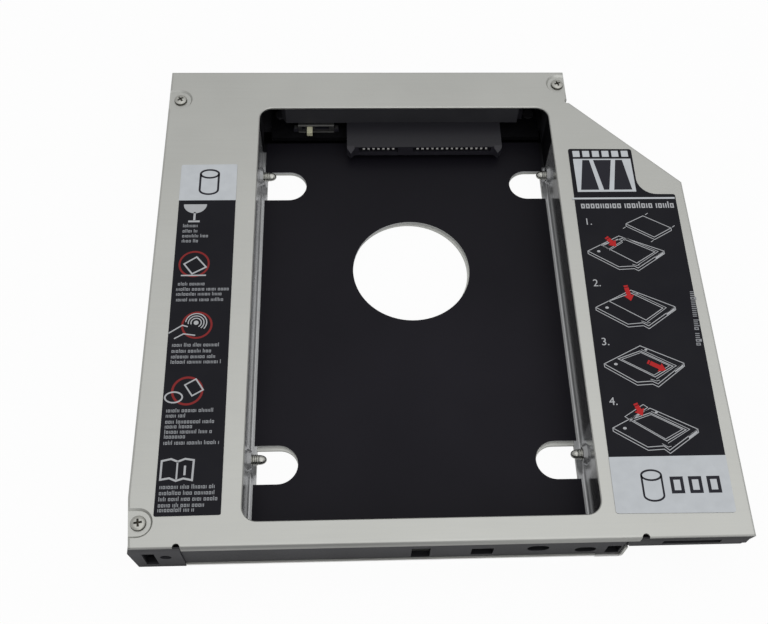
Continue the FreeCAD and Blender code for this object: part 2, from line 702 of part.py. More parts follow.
def frame_walls():
    """Outer walls and ribs of the frame, before its openings are cut."""
    outline = frame_outline()
    wall = MOULD_WALL
    ring = slab(sharp(outline), SHELF_TOP, COVER_UNDERSIDE)
    ring = ring.cut(slab(sharp(inset_polygon(outline, [wall] * len(outline))), 0.0, HEIGHT))
    # Left of the step the same walls stand on the bottom cover
    deep = slab(sharp(outline), FRAME_BASE, COVER_UNDERSIDE)
    deep = deep.cut(slab(sharp(inset_polygon(outline, [wall] * len(outline))), 0.0, HEIGHT))
    inner_right = STEP_X - SHEET - CLEARANCE
    deep = deep.cut(block(inner_right, WIDTH, -1.0, DEPTH, 0.0, HEIGHT))
    pieces = [ring, deep]
    tray_left = TRAY_LEFT - CLEARANCE
    tray_right = TRAY_RIGHT + CLEARANCE
    # Rear wall of the front beam
    pieces.append(block(FRAME_LEFT, inner_right, BEAM_REAR - RIB, BEAM_REAR, FRAME_BASE, COVER_UNDERSIDE))
    # Walls beside the tray, which turn inwards behind its ends
    pieces.append(block(tray_left - RIB, tray_left, 0.5 * RIB, FRAME_REAR, FRAME_BASE, COVER_UNDERSIDE))
    pieces.append(block(tray_right, tray_right + RIB, 0.5 * RIB, FRAME_REAR, FRAME_BASE, COVER_UNDERSIDE))
    behind_tray = TRAY_REAR + CLEARANCE
    for x0, x1 in ((tray_left - RIB, BAY_LEFT), (BAY_RIGHT, tray_right + RIB)):
        pieces.append(block(x0, x1, behind_tray, BAY_END_Y + RIB, FRAME_BASE, COVER_UNDERSIDE))
    # Outer wall of the right rail
    pieces.append(block(inner_right - RIB, inner_right, 0.5 * RIB, NOTCH_Y - 2.0 * RIB,
                        FRAME_BASE, COVER_UNDERSIDE))
    # Ribs
    for share in LEFT_RIB_SHARES:
        y = share * DEPTH
        pieces.append(block(FRAME_LEFT, tray_left, y - RIB / 2.0, y + RIB / 2.0, FRAME_BASE, COVER_UNDERSIDE))
    for share in RIGHT_RIB_SHARES:
        y = share * CHAMFER_Y
        pieces.append(block(tray_right, inner_right, y - RIB / 2.0, y + RIB / 2.0,
                            FRAME_BASE, COVER_UNDERSIDE))
        pieces.append(block(inner_right - RIB, WIDTH - SHEET - 2.0 * RIB, y - RIB / 2.0, y + RIB / 2.0,
                            SHELF_TOP, COVER_UNDERSIDE))
    for x in FRONT_RIBS:
        pieces.append(block(x - RIB / 2.0, x + RIB / 2.0, 0.5 * RIB, BEAM_REAR, FRAME_BASE, COVER_UNDERSIDE))
    return joined(pieces)


def rear_bar():
    """Hooded bar above the adapter board, with its left end cut at a slant."""
    lower = BAY_END_Y
    plan = [
        (BAR_LEFT, BAR_FRONT),
        (BAR_RIGHT, BAR_FRONT),
        (BAR_RIGHT, lower + RIB),
        (BAR_LEFT - BAR_END_SLANT, lower + RIB),
        (BAR_LEFT - BAR_END_SLANT, lower),
    ]
    hood = slab(sharp(plan), BAR_BOTTOM, COVER_UNDERSIDE)
    hollow = block(BAR_LEFT + RIB, BAR_RIGHT - RIB, BAR_FRONT + MOULD_WALL, BAY_END_Y + 2.0 * RIB,
                   0.0, COVER_UNDERSIDE - RIB)
    pieces = [hood.cut(hollow)]
    pieces.append(block(BAY_LEFT - RIB, BAY_RIGHT + RIB, BAY_END_Y, FRAME_REAR,
                        COVER_UNDERSIDE - RIB, COVER_UNDERSIDE))
    plug_top = BOARD_TOP + PLUG_HEIGHT + 2.0 * CLEARANCE
    for x in REAR_RIBS:
        pieces.append(block(x - RIB / 2.0, x + RIB / 2.0, BAR_FRONT + 0.5 * RIB, FRAME_REAR,
                            plug_top, COVER_UNDERSIDE))
    return joined(pieces)


def board_ledges():
    """Ledges that carry the adapter board's ends, each with a peg whose head is melted over it."""
    ledges = []
    left_peg = BOARD_LEFT + BOARD_PEG_INSET
    right_peg = BOARD_RIGHT - BOARD_PEG_INSET
    for x, start, end in ((left_peg, TRAY_LEFT, left_peg + BOARD_PEG_INSET),
                          (right_peg, right_peg - BOARD_PEG_INSET, TRAY_RIGHT)):
        ledge = block(start, end, BAY_END_Y, FRAME_REAR, FRAME_BASE, BOARD_HEIGHT)
        peg = rod(x, BOARD_PEG_Y, FRAME_BASE, PEG_DIAMETER, BOARD_TOP - FRAME_BASE, (0, 0, 1))
        head = rod(x, BOARD_PEG_Y, BOARD_TOP, PEG_HEAD, PEG_HEAD_HEIGHT, (0, 0, 1))
        ledges.extend([ledge, peg, head])
    return ledges


def front_openings(depth):
    """Clip slots and ovals through the front wall."""
    cutters = []
    slot_x = WIDTH - OVERHANG_SLOT_FROM_RIGHT
    overhang_slot = (slot_x, OVERHANG_SLOT_WIDTH, OVERHANG_SLOT_Z, OVERHANG_SLOT_HEIGHT)
    for x, width, z, height in FRONT_SLOTS + [overhang_slot]:
        cutters.append(block(x, x + width, -1.0, depth, z, z + height))
    for x, width, z, height in FRONT_OVALS:
        round_end = height / 2.0 if height < width else width / 2.0
        corners = rectangle(x, x + width, z, z + height, round_end - 0.01)
        cutters.append(lengthwise(corners, -1.0, depth))
    return cutters


def body_frame():
    """Black moulding that joins the two covers: walls, ribs, posts, feet and clip openings."""
    pieces = [frame_walls(), rear_bar()]
    pieces.extend(board_ledges())
    # Corner blocks at the front, where the cover has no folded side
    corner = CORNER_LENGTH - 2.0 * CLEARANCE
    left = [
        (CORNER_X + CORNER_LEAN, 0.0),
        (CORNER_X + CORNER_LEAN + MOULD_WALL, 0.0),
        (CORNER_X + CORNER_LEAN + MOULD_WALL, COVER_UNDERSIDE),
        (CORNER_X + CORNER_LEAN, COVER_UNDERSIDE),
        (CORNER_X, CORNER_BULGE_Z),
    ]
    pieces.append(lengthwise(sharp(left), 0.0, corner))
    right = [
        (FRONT_RIGHT_X - OVERHANG_LEAN - MOULD_WALL, OVERHANG_Z),
        (FRONT_RIGHT_X - OVERHANG_LEAN, OVERHANG_Z),
        (FRONT_RIGHT_X, COVER_UNDERSIDE),
        (FRONT_RIGHT_X - OVERHANG_LEAN - MOULD_WALL, COVER_UNDERSIDE),
    ]
    pieces.append(lengthwise(sharp(right), 0.0, corner))
    # Front wall of the overhang, and the foot beside the sill
    pieces.append(block(STEP_X, FRONT_RIGHT_X - OVERHANG_LEAN, 0.0, MOULD_WALL, OVERHANG_Z, COVER_UNDERSIDE))
    step_inner = STEP_X - SHEET
    pieces.append(block(CORNER_X + CORNER_LEAN, SILL_LEFT, 0.0, BEAM_REAR, 0.0, FOOT_HEIGHT))
    # Posts below the cover screws
    within = slab(sharp(frame_outline()), FRAME_BASE, POST_TOP)
    for recess in RECESSES:
        x, y = screw_place(recess)
        pieces.append(rod(x, y, FRAME_BASE, POST_DIAMETER, POST_TOP - FRAME_BASE, (0, 0, 1)).common(within))
    frame = joined(pieces)
    # Stay clear of the covers' own corners and of the wall behind the right corner block
    cutters = []
    cutters.append(block(STEP_X - SHEET - CLEARANCE, WIDTH, BEAM_REAR, CORNER_LENGTH, 0.0, SHELF_TOP))
    cutters.append(block(CORNER_X, SILL_LEFT, BEAM_REAR, CORNER_LENGTH, 0.0, FRAME_BASE))
    fold = [
        (step_inner - SHEET, FRAME_BASE),
        (step_inner, FRAME_BASE),
        (step_inner, FRAME_BASE + SHEET),
    ]
    cutters.append(lengthwise(sharp(fold), -1.0, NOTCH_Y))
    cutters.append(block(SILL_LEFT, step_inner, -1.0, WALL_SETBACK, 0.0, HEIGHT - LIP_DEPTH))
    for x in (LIP_LEFT - RELIEF_WIDTH, LIP_RIGHT):
        cutters.append(block(x, x + RELIEF_WIDTH, WALL_SETBACK, RELIEF_DEPTH,
                             HEIGHT - LIP_DEPTH + 2 * CLEARANCE, HEIGHT))
    cutters.append(block(LIP_LEFT - CLEARANCE, LIP_RIGHT + CLEARANCE, -1.0, SHEET + CLEARANCE,
                         HEIGHT - LIP_DEPTH - CLEARANCE, HEIGHT))
    cutters.append(block(SILL_LEFT - CLEARANCE, BAY_RIGHT + CLEARANCE, -1.0, SHEET + CLEARANCE,
                         0.0, SILL_HEIGHT + CLEARANCE))
    cutters.extend(front_openings(MOULD_WALL + 0.01))
    for recess in RECESSES:
        x, y = screw_place(recess)
        cutters.append(slab(recess_corners(recess, SHEET + CLEARANCE), POST_TOP, HEIGHT))
        cutters.append(rod(x, y, POST_TOP, SCREW_PILOT, SCREW_LENGTH, (0, 0, -1)))
    # Driver windows in line with the drive screws, and square pockets for the bushes
    for name, wall_x, y, reach, side in DRIVE_SCREWS:
        outward = wall_x - side * SHEET
        for size, length in ((BUSH_DIAMETER + 4 * CLEARANCE, BUSH_LENGTH + RIB), (DRIVER_HOLE, 3 * BAY_LEFT)):
            inward = outward - side * length
            cutters.append(block(min(outward, inward), max(outward, inward), y - size / 2.0, y + size / 2.0,
                                 PIN_Z - size / 2.0, PIN_Z + size / 2.0))
    for x in BRACKET_HOLES:
        cutters.append(rod(x, DEPTH, BRACKET_HOLE_Z, BRACKET_HOLE, SHEET + 2.0 * MOULD_WALL, (0, -1, 0)))
    cutters.append(plug_opening(FRAME_REAR - 2.0 * MOULD_WALL, DEPTH))
    frame = frame.cut(cutters)
    return frame.removeSplitter()


def adapter_board():
    """Circuit board with a hole for the peg at each end."""
    board = block(BOARD_LEFT, BOARD_RIGHT, BOARD_FRONT, BOARD_REAR, BOARD_HEIGHT, BOARD_TOP)
    for x in (BOARD_LEFT + BOARD_PEG_INSET, BOARD_RIGHT - BOARD_PEG_INSET):
        board = board.cut(rod(x, BOARD_PEG_Y, 0.0, PEG_DIAMETER + 2 * CLEARANCE, HEIGHT, (0, 0, 1)))
    return board


def contact_places(first, pitch, first_count, second_count, skip_count):
    """Middles of two groups of contacts, with places left out between them."""
    places = [first + pitch * index for index in range(first_count)]
    start = first_count - 1 + skip_count
    places.extend(first + pitch * (start + index) for index in range(second_count))
    return places


SOCKET_PLACES = contact_places(SOCKET_FIRST_X, CONTACT_PITCH, SOCKET_FIRST_COUNT, SOCKET_SECOND_COUNT,
                               SOCKET_SKIP_COUNT)
PLUG_PLACES = contact_places(PLUG_FIRST_X, PLUG_PITCH, PLUG_FIRST_COUNT, PLUG_SECOND_COUNT, PLUG_SKIP_COUNT)


def contact_strip(x, y0, y1, y_foot, z_low, z_high, tip):
    """One contact: a flat strip with its tip turned down, a leg down to the board and a foot."""
    half = CONTACT_WIDTH / 2.0
    thick = CONTACT_THICKNESS
    corners = [
        (y0, z_high - tip),
        (y0 + thick, z_high - tip),
        (y0 + thick, z_high - thick),
        (y1 - thick, z_high - thick),
        (y1 - thick, z_low),
        (y_foot, z_low),
        (y_foot, z_low + thick),
        (y1, z_low + thick),
        (y1, z_high),
        (y0, z_high),
    ]
    wire = Part.makePolygon([Vector(x - half, y, z) for y, z in corners + corners[:1]])
    return Part.Face(wire).extrude(Vector(CONTACT_WIDTH, 0, 0))


def drive_socket_contacts():
    """Spring contacts of the drive socket."""
    rear = SOCKET_FRONT + SOCKET_DEPTH
    strips = []
    for x in SOCKET_PLACES:
        strips.append(contact_strip(x, SOCKET_FRONT + CONTACT_SETBACK, rear + CONTACT_THICKNESS,
                                    rear + CONTACT_FOOT, BOARD_TOP, CONTACT_Z, CONTACT_TIP))
    return Part.makeCompound(strips)


def drive_socket():
    """Black socket that the drive's own connector slides into."""
    left = SOCKET_LEFT
    right = SOCKET_LEFT + SOCKET_WIDTH
    rear = SOCKET_FRONT + SOCKET_DEPTH
    top = BOARD_TOP + SOCKET_HEIGHT
    body = block(left + SOCKET_ARM, right - SOCKET_ARM, SOCKET_FRONT, rear, BOARD_TOP, top)
    arms = []
    tip = SOCKET_FRONT - SOCKET_ARM_REACH
    for inner, outer in ((left + SOCKET_ARM, left), (right - SOCKET_ARM, right)):
        plan = [(inner, SOCKET_FRONT), (inner, rear), (outer, rear), (outer, SOCKET_FRONT),
                (0.5 * (inner + outer), tip)]
        wire = Part.makePolygon([Vector(x, y, BOARD_TOP) for x, y in plan + plan[:1]])
        arms.append(Part.Face(wire).extrude(Vector(0, 0, SOCKET_HEIGHT)))
    socket = joined([body] + arms)
    # The arms slope down to their tips and guide the drive in
    slope_start = SOCKET_FRONT + 0.5 * SOCKET_ARM_REACH
    slope = [(slope_start, top), (tip, top - SOCKET_ARM_SLOPE), (tip, top + 1.0), (slope_start, top + 1.0)]
    wire = Part.makePolygon([Vector(left, y, z) for y, z in slope + slope[:1]])
    wedge = Part.Face(wire).extrude(Vector(SOCKET_WIDTH, 0, 0))
    between = block(left + SOCKET_ARM, right - SOCKET_ARM, tip, rear, BOARD_TOP, 2 * top)
    socket = socket.cut(wedge.cut(between))
    # Two mouths, either side of the key
    first_end = SOCKET_PLACES[SOCKET_FIRST_COUNT - 1] + CONTACT_PITCH
    second_start = SOCKET_PLACES[SOCKET_FIRST_COUNT] - CONTACT_PITCH
    outer_start = SOCKET_PLACES[0] - CONTACT_PITCH
    outer_end = SOCKET_PLACES[-1] + CONTACT_PITCH
    mouth_rear = rear - SOCKET_LIP
    for x0, x1 in ((outer_start, first_end), (second_start, outer_end)):
        socket = socket.cut(block(x0, x1, SOCKET_FRONT - 1.0, mouth_rear,
                                  CONTACT_Z - SOCKET_MOUTH, CONTACT_Z))
    for x in SOCKET_PLACES:
        half = CONTACT_WIDTH / 2.0
        socket = socket.cut(block(x - half, x + half, mouth_rear - 1.0, rear + 1.0,
                                  CONTACT_Z - CONTACT_THICKNESS, CONTACT_Z))
    return socket


def host_plug():
    """Black plug that goes into the laptop: shroud with a tongue inside."""
    right = PLUG_LEFT + PLUG_WIDTH
    front = DEPTH - PLUG_DEPTH
    top = BOARD_TOP + PLUG_HEIGHT
    plug = block(PLUG_LEFT, right, front, DEPTH, BOARD_TOP, top)
    inner = block(PLUG_LEFT + PLUG_SHELL, right - PLUG_SHELL, front + 2.0 * PLUG_SHELL, DEPTH + 1.0,
                  BOARD_TOP + PLUG_SHELL, top - PLUG_SHELL)
    tongue = block(PLUG_LEFT + 2.0 * PLUG_SHELL, right - 2.0 * PLUG_SHELL, front + PLUG_SHELL,
                   DEPTH - PLUG_SHELL, BOARD_TOP + PLUG_SHELL, PLUG_TONGUE_TOP)
    plug = plug.cut(inner).fuse(tongue).removeSplitter()
    half = CONTACT_WIDTH / 2.0
    for x in PLUG_PLACES:
        plug = plug.cut(block(x - half, x + half, front - 1.0, DEPTH - 2.0 * PLUG_SHELL,
                              PLUG_TONGUE_TOP - CONTACT_THICKNESS, PLUG_TONGUE_TOP))
    return plug


def host_plug_contacts():
    """Contacts of the host plug, let into its tongue."""
    front = DEPTH - PLUG_DEPTH
    strips = []
    for x in PLUG_PLACES:
        strip = contact_strip(x, 2.0 * PLUG_SHELL - DEPTH, CONTACT_THICKNESS - front, CONTACT_FOOT - front,
                              BOARD_TOP, PLUG_TONGUE_TOP, CONTACT_THICKNESS)
        strips.append(strip.mirror(Vector(0, 0, 0), Vector(0, 1, 0)))
    return Part.makeCompound(strips)


def switch_shell():
    """Bent metal cap of the slide switch, open below, with a slot for the lever."""
    right = SWITCH_LEFT + SWITCH_WIDTH
    rear = SWITCH_FRONT + SWITCH_DEPTH
    top = BOARD_TOP + SWITCH_HEIGHT
    shell = block(SWITCH_LEFT, right, SWITCH_FRONT, rear, BOARD_TOP, top)
    shell = shell.cut(block(SWITCH_LEFT + SWITCH_SHELL, right - SWITCH_SHELL, SWITCH_FRONT + SWITCH_SHELL,
                            rear - SWITCH_SHELL, 0.0, top - SWITCH_SHELL))
    slot_end = LEVER_X + LEVER_WIDTH + LEVER_TRAVEL
    shell = shell.cut(block(LEVER_X - LEVER_BACK - CLEARANCE, slot_end + CLEARANCE,
                            0.0, SWITCH_FRONT + 2 * SWITCH_SHELL, LEVER_Z - CLEARANCE, top - SWITCH_SHELL))
    # Room for the ears of the base at both ends
    ear_top = BOARD_TOP + SWITCH_BASE_HEIGHT
    shell = shell.cut(block(SWITCH_LEFT - 1.0, right + 1.0, SWITCH_FRONT + SWITCH_SHELL,
                            SWITCH_FRONT + SWITCH_SHELL + SWITCH_EAR_DEPTH, 0.0, ear_top))
    return shell


def switch_base():
    """Moulded base of the slide switch, with an ear at each end."""
    right = SWITCH_LEFT + SWITCH_WIDTH
    rear = SWITCH_FRONT + SWITCH_DEPTH
    ear_top = BOARD_TOP + SWITCH_BASE_HEIGHT
    middle = block(SWITCH_LEFT + SWITCH_SHELL, right - SWITCH_SHELL, SWITCH_FRONT + SWITCH_SHELL,
                   rear - SWITCH_SHELL, BOARD_TOP, ear_top)
    ears = block(SWITCH_LEFT - SWITCH_EAR, right + SWITCH_EAR, SWITCH_FRONT + SWITCH_SHELL,
                 SWITCH_FRONT + SWITCH_SHELL + SWITCH_EAR_DEPTH, BOARD_TOP, ear_top)
    return joined([middle, ears])


def switch_terminals():
    """Three solder tags behind the slide switch and a rivet in each ear."""
    rear = SWITCH_FRONT + SWITCH_DEPTH
    middle = SWITCH_LEFT + SWITCH_WIDTH / 2.0
    pieces = []
    for offset in (-SWITCH_WIDTH / 4.0, 0.0, SWITCH_WIDTH / 4.0):
        x = middle + offset
        pieces.append(block(x - 0.3, x + 0.3, rear, rear + 0.9, BOARD_TOP, BOARD_TOP + 0.2))
    ear_top = BOARD_TOP + SWITCH_BASE_HEIGHT
    rivet_front = SWITCH_FRONT + 2 * SWITCH_SHELL
    for side in (-1, 1):
        x = middle + side * (SWITCH_WIDTH + SWITCH_EAR) / 2.0
        pieces.append(block(x - 0.4, x + 0.4, rivet_front, rivet_front + 0.8, ear_top, ear_top + 0.35))
    return Part.makeCompound(pieces)


def switch_lever():
    """Cream lever that slides in the shell's slot."""
    lever = block(LEVER_X, LEVER_X + LEVER_WIDTH, SWITCH_FRONT - LEVER_REACH, SWITCH_FRONT + 2 * SWITCH_SHELL,
                  LEVER_Z, LEVER_Z + LEVER_HEIGHT)
    slider = block(LEVER_X - SLIDER_OVERLAP, LEVER_X + LEVER_WIDTH + SLIDER_OVERLAP,
                   SWITCH_FRONT + SWITCH_SHELL + RUNNING_FIT,
                   SWITCH_FRONT + SWITCH_DEPTH - SWITCH_SHELL - RUNNING_FIT,
                   LEVER_Z, LEVER_Z + LEVER_HEIGHT)
    return joined([lever, slider])


def turned(shape, x, y, degrees):
    """Turns a flat piece about an upright line."""
    shape.rotate(Vector(x, y, 0), Vector(0, 0, 1), degrees)
    return shape


def left_label():
    """Narrow label film, stuck on slightly out of square."""
    film = slab(rectangle(LEFT_LABEL_X, LEFT_LABEL_X + LEFT_LABEL_WIDTH, LEFT_LABEL_FRONT,
                          LEFT_LABEL_FRONT + LEFT_LABEL_LENGTH, 0.4), HEIGHT, HEIGHT + LABEL_FILM)
    film = turned(film, LEFT_LABEL_X, LEFT_LABEL_FRONT + LEFT_LABEL_LENGTH, LEFT_LABEL_TURN)
    return film.cut(recess_cutter(RECESSES[0]))


def right_label():
    """Wide label film whose rear right shoulder is cut away in a hollow curve."""
    x0 = RIGHT_LABEL_X
    x1 = RIGHT_LABEL_X + RIGHT_LABEL_WIDTH
    y0 = RIGHT_LABEL_FRONT
    y1 = RIGHT_LABEL_FRONT + RIGHT_LABEL_LENGTH
    head = x0 + RIGHT_LABEL_HEAD_SHARE * RIGHT_LABEL_WIDTH
    shoulder = y1 - RIGHT_LABEL_SHOULDER
    corners = [
        (x0, y0, 0.6),
        (x1, y0, 0.6),
        (x1, shoulder, 0.5),
        (head, shoulder, RIGHT_LABEL_CURVE_SHARE * RIGHT_LABEL_WIDTH),
        (head, y1, 0.6),
        (x0, y1, 0.6),
    ]
    film = slab(corners, HEIGHT, HEIGHT + LABEL_FILM)
    return turned(film, x0, y0, RIGHT_LABEL_TURN)


def make_all():
    """Every piece by name."""
    os.makedirs("parts", exist_ok=True)
    save("top_cover", top_cover())
    save("bottom_cover", bottom_cover())
    save("body_frame", body_frame())
    save("drive_tray", drive_tray())
    save("floor_film", floor_film())
    save("adapter_board", adapter_board())
    save("drive_socket", drive_socket())
    save("drive_socket_contacts", drive_socket_contacts())
    save("host_plug", host_plug())
    save("host_plug_contacts", host_plug_contacts())
    save("switch_shell", switch_shell())
    save("switch_base", switch_base())
    save("switch_terminals", switch_terminals())
    save("switch_lever", switch_lever())
    bushes = []
    for name, wall_x, y, reach, side in DRIVE_SCREWS:
        save(name, drive_screw(wall_x, y, reach, side))
        bushes.append(screw_bush(wall_x, y, side))
    save("screw_bushes", Part.makeCompound(bushes))
    screws = []
    for recess in RECESSES:
        x, y = screw_place(recess)
        screws.append(pan_screw(x, y, RECESS_FLOOR, RECESS_FLOOR - SCREW_LENGTH))
    save("cover_screws", Part.makeCompound(screws))
    save("left_label", left_label())
    save("right_label", right_label())


make_all()
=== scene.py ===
# Looks of a laptop drive caddy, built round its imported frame. Metres, in the frame's own axes:
# the origin is the middle of the underside, +Y runs from the front face to the rear, +Z is up.
import math
import random

import bpy
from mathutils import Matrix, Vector


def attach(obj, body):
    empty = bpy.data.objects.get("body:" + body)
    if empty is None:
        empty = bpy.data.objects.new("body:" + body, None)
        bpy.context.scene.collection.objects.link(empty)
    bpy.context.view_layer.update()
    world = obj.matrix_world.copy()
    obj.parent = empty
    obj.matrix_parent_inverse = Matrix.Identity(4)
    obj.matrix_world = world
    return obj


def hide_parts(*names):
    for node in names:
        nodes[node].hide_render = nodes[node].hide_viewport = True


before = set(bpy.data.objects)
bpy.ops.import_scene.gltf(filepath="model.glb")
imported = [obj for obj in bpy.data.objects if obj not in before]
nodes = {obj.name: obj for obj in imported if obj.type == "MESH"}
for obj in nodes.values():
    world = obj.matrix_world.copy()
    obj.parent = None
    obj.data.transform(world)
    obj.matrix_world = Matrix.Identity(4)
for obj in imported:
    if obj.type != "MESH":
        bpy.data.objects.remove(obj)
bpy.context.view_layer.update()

# Viewpoint: the caddy is seen from in front and well above, with its left side
# nearly upright in the picture.
bpy.ops.object.camera_add(location=(-0.017714, -0.124005, 0.212288),
                          rotation=(0.520845, -0.033564, -0.032464))
camera = bpy.context.object
camera.name = "camera"
camera.data.sensor_fit = "HORIZONTAL"
camera.data.sensor_width = 36.0
camera.data.lens = 47.5986
camera.data.shift_x = -0.019689
camera.data.shift_y = 0.000468
camera.data.clip_start = 0.005
camera.data.clip_end = 20.0
bpy.context.scene.camera = camera
bpy.context.scene.view_settings.view_transform = "Standard"


# Studio: a white table under a wide soft lamp, with a white room around it. Its paper
# looks white to the camera and still takes the caddy's shadow.
class Shade:
    """A shader socket that takes part in Python arithmetic, which adds Math nodes."""

    def __init__(self, tree, socket):
        self.tree = tree
        self.socket = socket

    def node(self, kind, settings=None, inputs=None, output=0):
        """Any node: its settings are made first, then its sockets get values or links."""
        node = self.tree.nodes.new(kind)
        for name, value in (settings or {}).items():
            setattr(node, name, value)
        for name, value in (inputs or {}).items():
            if isinstance(value, Shade):
                self.tree.links.new(value.socket, node.inputs[name])
            else:
                node.inputs[name].default_value = value
        return Shade(self.tree, node.outputs[output])

    def _maths(self, operation, first, second):
        return self.node("ShaderNodeMath", {"operation": operation}, {0: first, 1: second})

    def __add__(self, other):
        return self._maths("ADD", self, other)

    def __radd__(self, other):
        return self._maths("ADD", other, self)

    def __sub__(self, other):
        return self._maths("SUBTRACT", self, other)

    def __rsub__(self, other):
        return self._maths("SUBTRACT", other, self)

    def __mul__(self, other):
        return self._maths("MULTIPLY", self, other)

    def __rmul__(self, other):
        return self._maths("MULTIPLY", other, self)

    def part(self, axis):
        """One coordinate of a vector."""
        return self.node("ShaderNodeSeparateXYZ", None, {0: self}, "XYZ".index(axis))

    def stretched(self, scale):
        """A vector with each coordinate scaled."""
        return self.node("ShaderNodeMapping", None, {"Vector": self, "Scale": scale})

    def noise(self, scale, detail=2.0, roughness=0.5):
        """Grey noise about 0.5."""
        return self.node("ShaderNodeTexNoise", None,
                         {"Vector": self, "Scale": scale, "Detail": detail, "Roughness": roughness})

    def band(self, low, high, to_low=0.0, to_high=1.0):
        """A value carried from one range to another and kept inside it."""
        return self.node("ShaderNodeMapRange", {"clamp": True},
                         {"Value": self, "From Min": low, "From Max": high,
                          "To Min": to_low, "To Max": to_high})

    def between(self, first, second):
        """Two colours mixed by this value."""
        return self.node("ShaderNodeMix", {"data_type": "RGBA"}, {"Factor": self, "A": first, "B": second}, 2)

    def bumps(self, strength, distance):
        """A normal raised by this value."""
        return self.node("ShaderNodeBump", None, {"Height": self, "Strength": strength, "Distance": distance})


def wear(finish, *pieces):
    """Gives pieces one finish."""
    for piece in pieces:
        piece.data.materials.clear()
        piece.data.materials.append(finish)


TABLE_SIZE = 6.0
TABLE_GAP = 0.0002
PAPER_GLOW = 0.95
bpy.ops.mesh.primitive_plane_add(size=TABLE_SIZE, location=(0, 0, -TABLE_GAP))
table = bpy.context.object
table.name = "studio_table"
table_paper = bpy.data.materials.new("table_paper")
table_paper.use_nodes = True
paper_tree = table_paper.node_tree
paper_tree.nodes.clear()
paper_output = paper_tree.nodes.new("ShaderNodeOutputMaterial")
paper_start = Shade(paper_tree, None)
paper_diffuse = paper_start.node("ShaderNodeBsdfDiffuse", None, {"Color": (0.86, 0.86, 0.86, 1.0)})
paper_glow = paper_start.node("ShaderNodeEmission", None, {"Color": (1.0, 1.0, 1.0, 1.0), "Strength": 1.0})
rays = paper_tree.nodes.new("ShaderNodeLightPath")
seen = Shade(paper_tree, rays.outputs["Is Camera Ray"])
paper_mix = paper_start.node("ShaderNodeMixShader", None,
                             {0: seen * PAPER_GLOW, 1: paper_diffuse, 2: paper_glow})
paper_tree.links.new(paper_mix.socket, paper_output.inputs["Surface"])
wear(table_paper, table)

world = bpy.data.worlds.new("studio_room")
bpy.context.scene.world = world
world.use_nodes = True
world.node_tree.nodes["Background"].inputs["Color"].default_value = (1.0, 1.0, 1.0, 1.0)
world.node_tree.nodes["Background"].inputs["Strength"].default_value = 0.50


def soft_lamp(name, place, aim, size, power):
    """A square lamp turned towards a point."""
    bpy.ops.object.light_add(type="AREA", location=place)
    lamp = bpy.context.object
    lamp.name = name
    lamp.data.shape = "SQUARE"
    lamp.data.size = size
    lamp.data.energy = power
    lamp.rotation_euler = (Vector(aim) - Vector(place)).to_track_quat("-Z", "Y").to_euler()


soft_lamp("overhead_lamp", (0.14, -0.06, 0.95), (0, 0, 0), 1.5, 4.0)
soft_lamp("front_lamp", (0.25, -0.9, 0.55), (0, 0, 0), 0.6, 1.0)


# Lower cover: the floor of the caddy with its step and shelf, folded from thin aluminium
# sheet. The sheet is satin, with a faintly cloudy tone, fine rolling marks and a fine grain.
def new_finish(name, **constants):
    """A material with its shader's plain values set, its shader and its object coordinates."""
    finish = bpy.data.materials.new(name)
    finish.use_nodes = True
    tree = finish.node_tree
    shader = tree.nodes["Principled BSDF"]
    for socket, value in constants.items():
        shader.inputs[socket.replace("_", " ")].default_value = value
    place = tree.nodes.new("ShaderNodeTexCoord")
    return finish, shader, Shade(tree, place.outputs["Object"])


def feed(shader, socket, shade):
    """Links a shade into one socket of a finish."""
    shade.tree.links.new(shade.socket, shader.inputs[socket])


FRONT_FACE = -0.06305
cover_sheet, sheet_shader, place = new_finish("cover_sheet", Metallic=1.0)
cloud = place.noise(38.0, 3.0)
rolled = place.stretched((60.0, 1400.0, 400.0)).noise(1.0, 3.0)
grain = place.noise(2600.0, 2.0)
tone = cloud.band(0.35, 0.65) * 0.5 + rolled.band(0.3, 0.7) * 0.2 + grain.band(0.3, 0.7) * 0.3
satin = tone.between((0.565, 0.57, 0.542, 1.0), (0.625, 0.63, 0.60, 1.0))
across, along, up = place.part("X"), place.part("Y"), place.part("Z")
# Painted shade: the upper cover's lip is coloured darker, as it faces away from the lamp, most of all where
# it bends down.
lip_face = along.band(FRONT_FACE + 0.00015, FRONT_FACE + 0.00035, 1.0, 0.0) * up.band(0.0070, 0.0080)
crease_painted_shade = lip_face * up.band(0.0112, 0.0118) * across.band(-0.02, 0.02, 0.25, 0.0)
lip_painted_shade = (lip_face * 0.36 + crease_painted_shade).between(satin, (0.12, 0.12, 0.12, 1.0))
# Painted shade: the floor sheet below the board is coloured near black, as no light reaches it.
under_board_painted_shade = up.band(0.0003, 0.0004) * up.band(0.0016, 0.0020, 1.0, 0.0) \
    * along.band(0.0470, 0.0475) * along.band(0.0600, 0.0605, 1.0, 0.0) \
    * across.band(-0.0450, -0.0445) * across.band(0.0375, 0.0380, 1.0, 0.0)
# Painted highlight: the cut front edge of the sheet is coloured near white.
sill_painted_highlight = along.band(FRONT_FACE + 0.0002, FRONT_FACE + 0.0003, 1.0, 0.0) * up.band(0.0010, 0.0012, 1.0, 0.0)
sheet_with_painted_light = sill_painted_highlight.between(lip_painted_shade, (0.97, 0.97, 0.96, 1.0))
feed(sheet_shader, "Base Color", under_board_painted_shade.between(sheet_with_painted_light, (0.01, 0.01, 0.01, 1.0)))
feed(sheet_shader, "Roughness", 0.39 + 0.12 * grain + 0.05 * cloud)
feed(sheet_shader, "Normal", (grain + 0.5 * rolled).bumps(0.12, 0.00002))
wear(cover_sheet, nodes["bottom_cover"])
